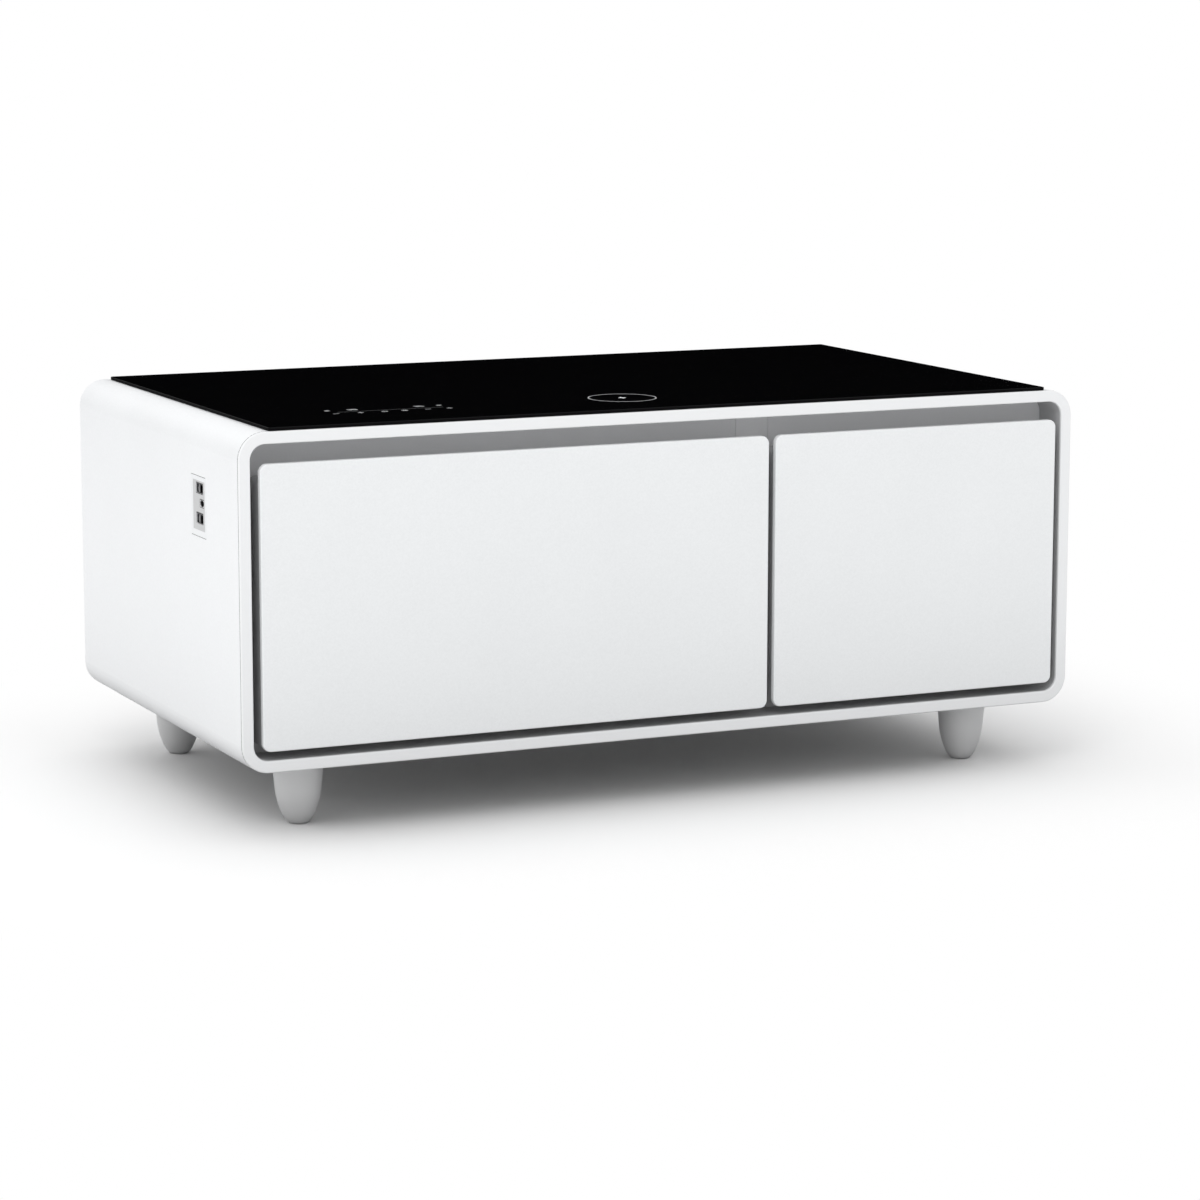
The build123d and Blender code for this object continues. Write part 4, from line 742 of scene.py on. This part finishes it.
def seenRay(tree):
    # one for camera, mirror and see-through rays
    path = put(tree, "ShaderNodeLightPath")
    both = math2(tree, "ADD", path.outputs["Is Camera Ray"], path.outputs["Is Glossy Ray"])
    total = math2(tree, "ADD", both, path.outputs["Is Transmission Ray"])
    return math2(tree, "MINIMUM", total, 1.0)


def makeWorld(look):
    # light on rough surfaces is ambient times (1 - leftLift * x + skyLift * z where z is above 0); all other
    # rays see plain white
    world = bpy.data.worlds.new("paleStudio")
    bpy.context.scene.world = world
    world.use_nodes = True
    tree = world.node_tree
    tree.nodes.clear()
    toward = put(tree, "ShaderNodeSeparateXYZ", {0: put(tree, "ShaderNodeTexCoord").outputs["Generated"]})
    across = math2(tree, "MULTIPLY_ADD", toward.outputs[0], -look["leftLift"], 1.0)
    lift = math2(tree, "MULTIPLY_ADD", math2(tree, "MAXIMUM", toward.outputs[2]), look["skyLift"], across)
    strength = math2(tree, "MULTIPLY", lift, look["ambient"])
    soft = put(tree, "ShaderNodeBackground", {"Color": (1, 1, 1, 1), "Strength": strength})
    white = put(tree, "ShaderNodeBackground", {"Color": (1, 1, 1, 1), "Strength": 1.0})
    mixed = put(tree, "ShaderNodeMixShader", {0: seenRay(tree), 1: soft.outputs[0], 2: white.outputs[0]})
    put(tree, "ShaderNodeOutputWorld", {"Surface": mixed.outputs[0]})


def makeFloor(look):
    # paper that turns plain white away from the table for rays that see it, and dull under the table for
    # light that bounces
    half = look["floorHalf"]
    points = np.array([(-half, -half, 0), (half, -half, 0), (half, half, 0), (-half, half, 0)], float)
    mesh = bpy.data.meshes.new("floor")
    mesh.from_pydata(points.tolist(), [], [(0, 1, 2, 3)])
    floor = bpy.data.objects.new("floor", mesh)
    bpy.context.scene.collection.objects.link(floor)
    material = bpy.data.materials.new("floorPaper")
    material.use_nodes = True
    tree = material.node_tree
    tree.nodes.clear()
    tone = look["floorColor"]
    where = put(tree, "ShaderNodeTexCoord").outputs["Object"]
    xyz = put(tree, "ShaderNodeSeparateXYZ", {0: where})
    # distance outside the table's outline, then a smooth step to plain white
    halves = (cadHigh.x, cadHigh.y)
    sides = [math2(tree, "ABSOLUTE", xyz.outputs[k]) for k in range(2)]
    outX, outY = [math2(tree, "MAXIMUM", math2(tree, "SUBTRACT", sides[k], halves[k])) for k in range(2)]
    away = math2(tree, "SQRT", math2(tree, "ADD", math2(tree, "MULTIPLY", outX, outX),
                                     math2(tree, "MULTIPLY", outY, outY)))
    fade = put(tree, "ShaderNodeMapRange", {
        0: away, 1: look["whiteFrom"], 2: look["whiteTo"], 3: 0.0, 4: 1.0}, interpolation_type="SMOOTHSTEP")
    mask = math2(tree, "MULTIPLY", fade.outputs[0], seenRay(tree))
    under = put(tree, "ShaderNodeMapRange", {0: away, 1: 0.0, 2: look["underReach"], 3: 1.0, 4: 0.0})
    bounce = put(tree, "ShaderNodeLightPath").outputs["Is Diffuse Ray"]
    dull = math2(tree, "MULTIPLY", under.outputs[0], bounce)
    blended = put(tree, "ShaderNodeMix", {0: dull, 6: (tone, tone, tone, 1),
                                          7: (*[look["underTone"]] * 3, 1)}, data_type="RGBA")
    paper = put(tree, "ShaderNodeBsdfDiffuse", {"Color": blended.outputs[2]})
    white = put(tree, "ShaderNodeEmission", {"Color": (1, 1, 1, 1), "Strength": 1.0})
    mixed = put(tree, "ShaderNodeMixShader", {0: mask, 1: paper.outputs[0], 2: white.outputs[0]})
    put(tree, "ShaderNodeOutputMaterial", {"Surface": mixed.outputs[0]})
    mesh.materials.append(material)


def makeLamp(name, place, aim, size, power):
    # a disk whose back axis points away from its aim
    data = bpy.data.lights.new(name, "AREA")
    data.shape = "DISK"
    data.size = size
    data.energy = power
    lamp = bpy.data.objects.new(name, data)
    bpy.context.scene.collection.objects.link(lamp)
    lamp.location = place
    away = np.array(aim, float) - np.array(place, float)
    flat = math.hypot(away[0], away[1])
    lamp.rotation_euler = (math.atan2(flat, -away[2]), 0, math.atan2(-away[0], away[1]))


def makeFlag(look):
    # a dark cloth outside the picture, so that the polished top mirrors black where the camera looks
    half, y, z0, z1 = look["flagHalf"], look["flagY"], look["flagFrom"], look["flagTo"]
    mesh = bpy.data.meshes.new("darkFlag")
    mesh.from_pydata([(-half, y, z0), (half, y, z0), (half, y, z1), (-half, y, z1)], [], [(0, 1, 2, 3)])
    flag = bpy.data.objects.new("darkFlag", mesh)
    bpy.context.scene.collection.objects.link(flag)
    flag.visible_camera = False
    flag.visible_diffuse = False
    flag.visible_shadow = False
    flag.visible_transmission = False
    material = bpy.data.materials.new("darkCloth")
    material.use_nodes = True
    tree = material.node_tree
    tree.nodes.clear()
    dark = put(tree, "ShaderNodeEmission", {"Color": (0, 0, 0, 1), "Strength": 0.0})
    put(tree, "ShaderNodeOutputMaterial", {"Surface": dark.outputs[0]})
    mesh.materials.append(material)


makeWorld(studio)
makeFloor(studio)
makeFlag(studio)
makeLamp("keyLamp", studio["keyPlace"], (0, 0, 0.3), studio["keySize"], studio["keyPower"])
print("studio set")
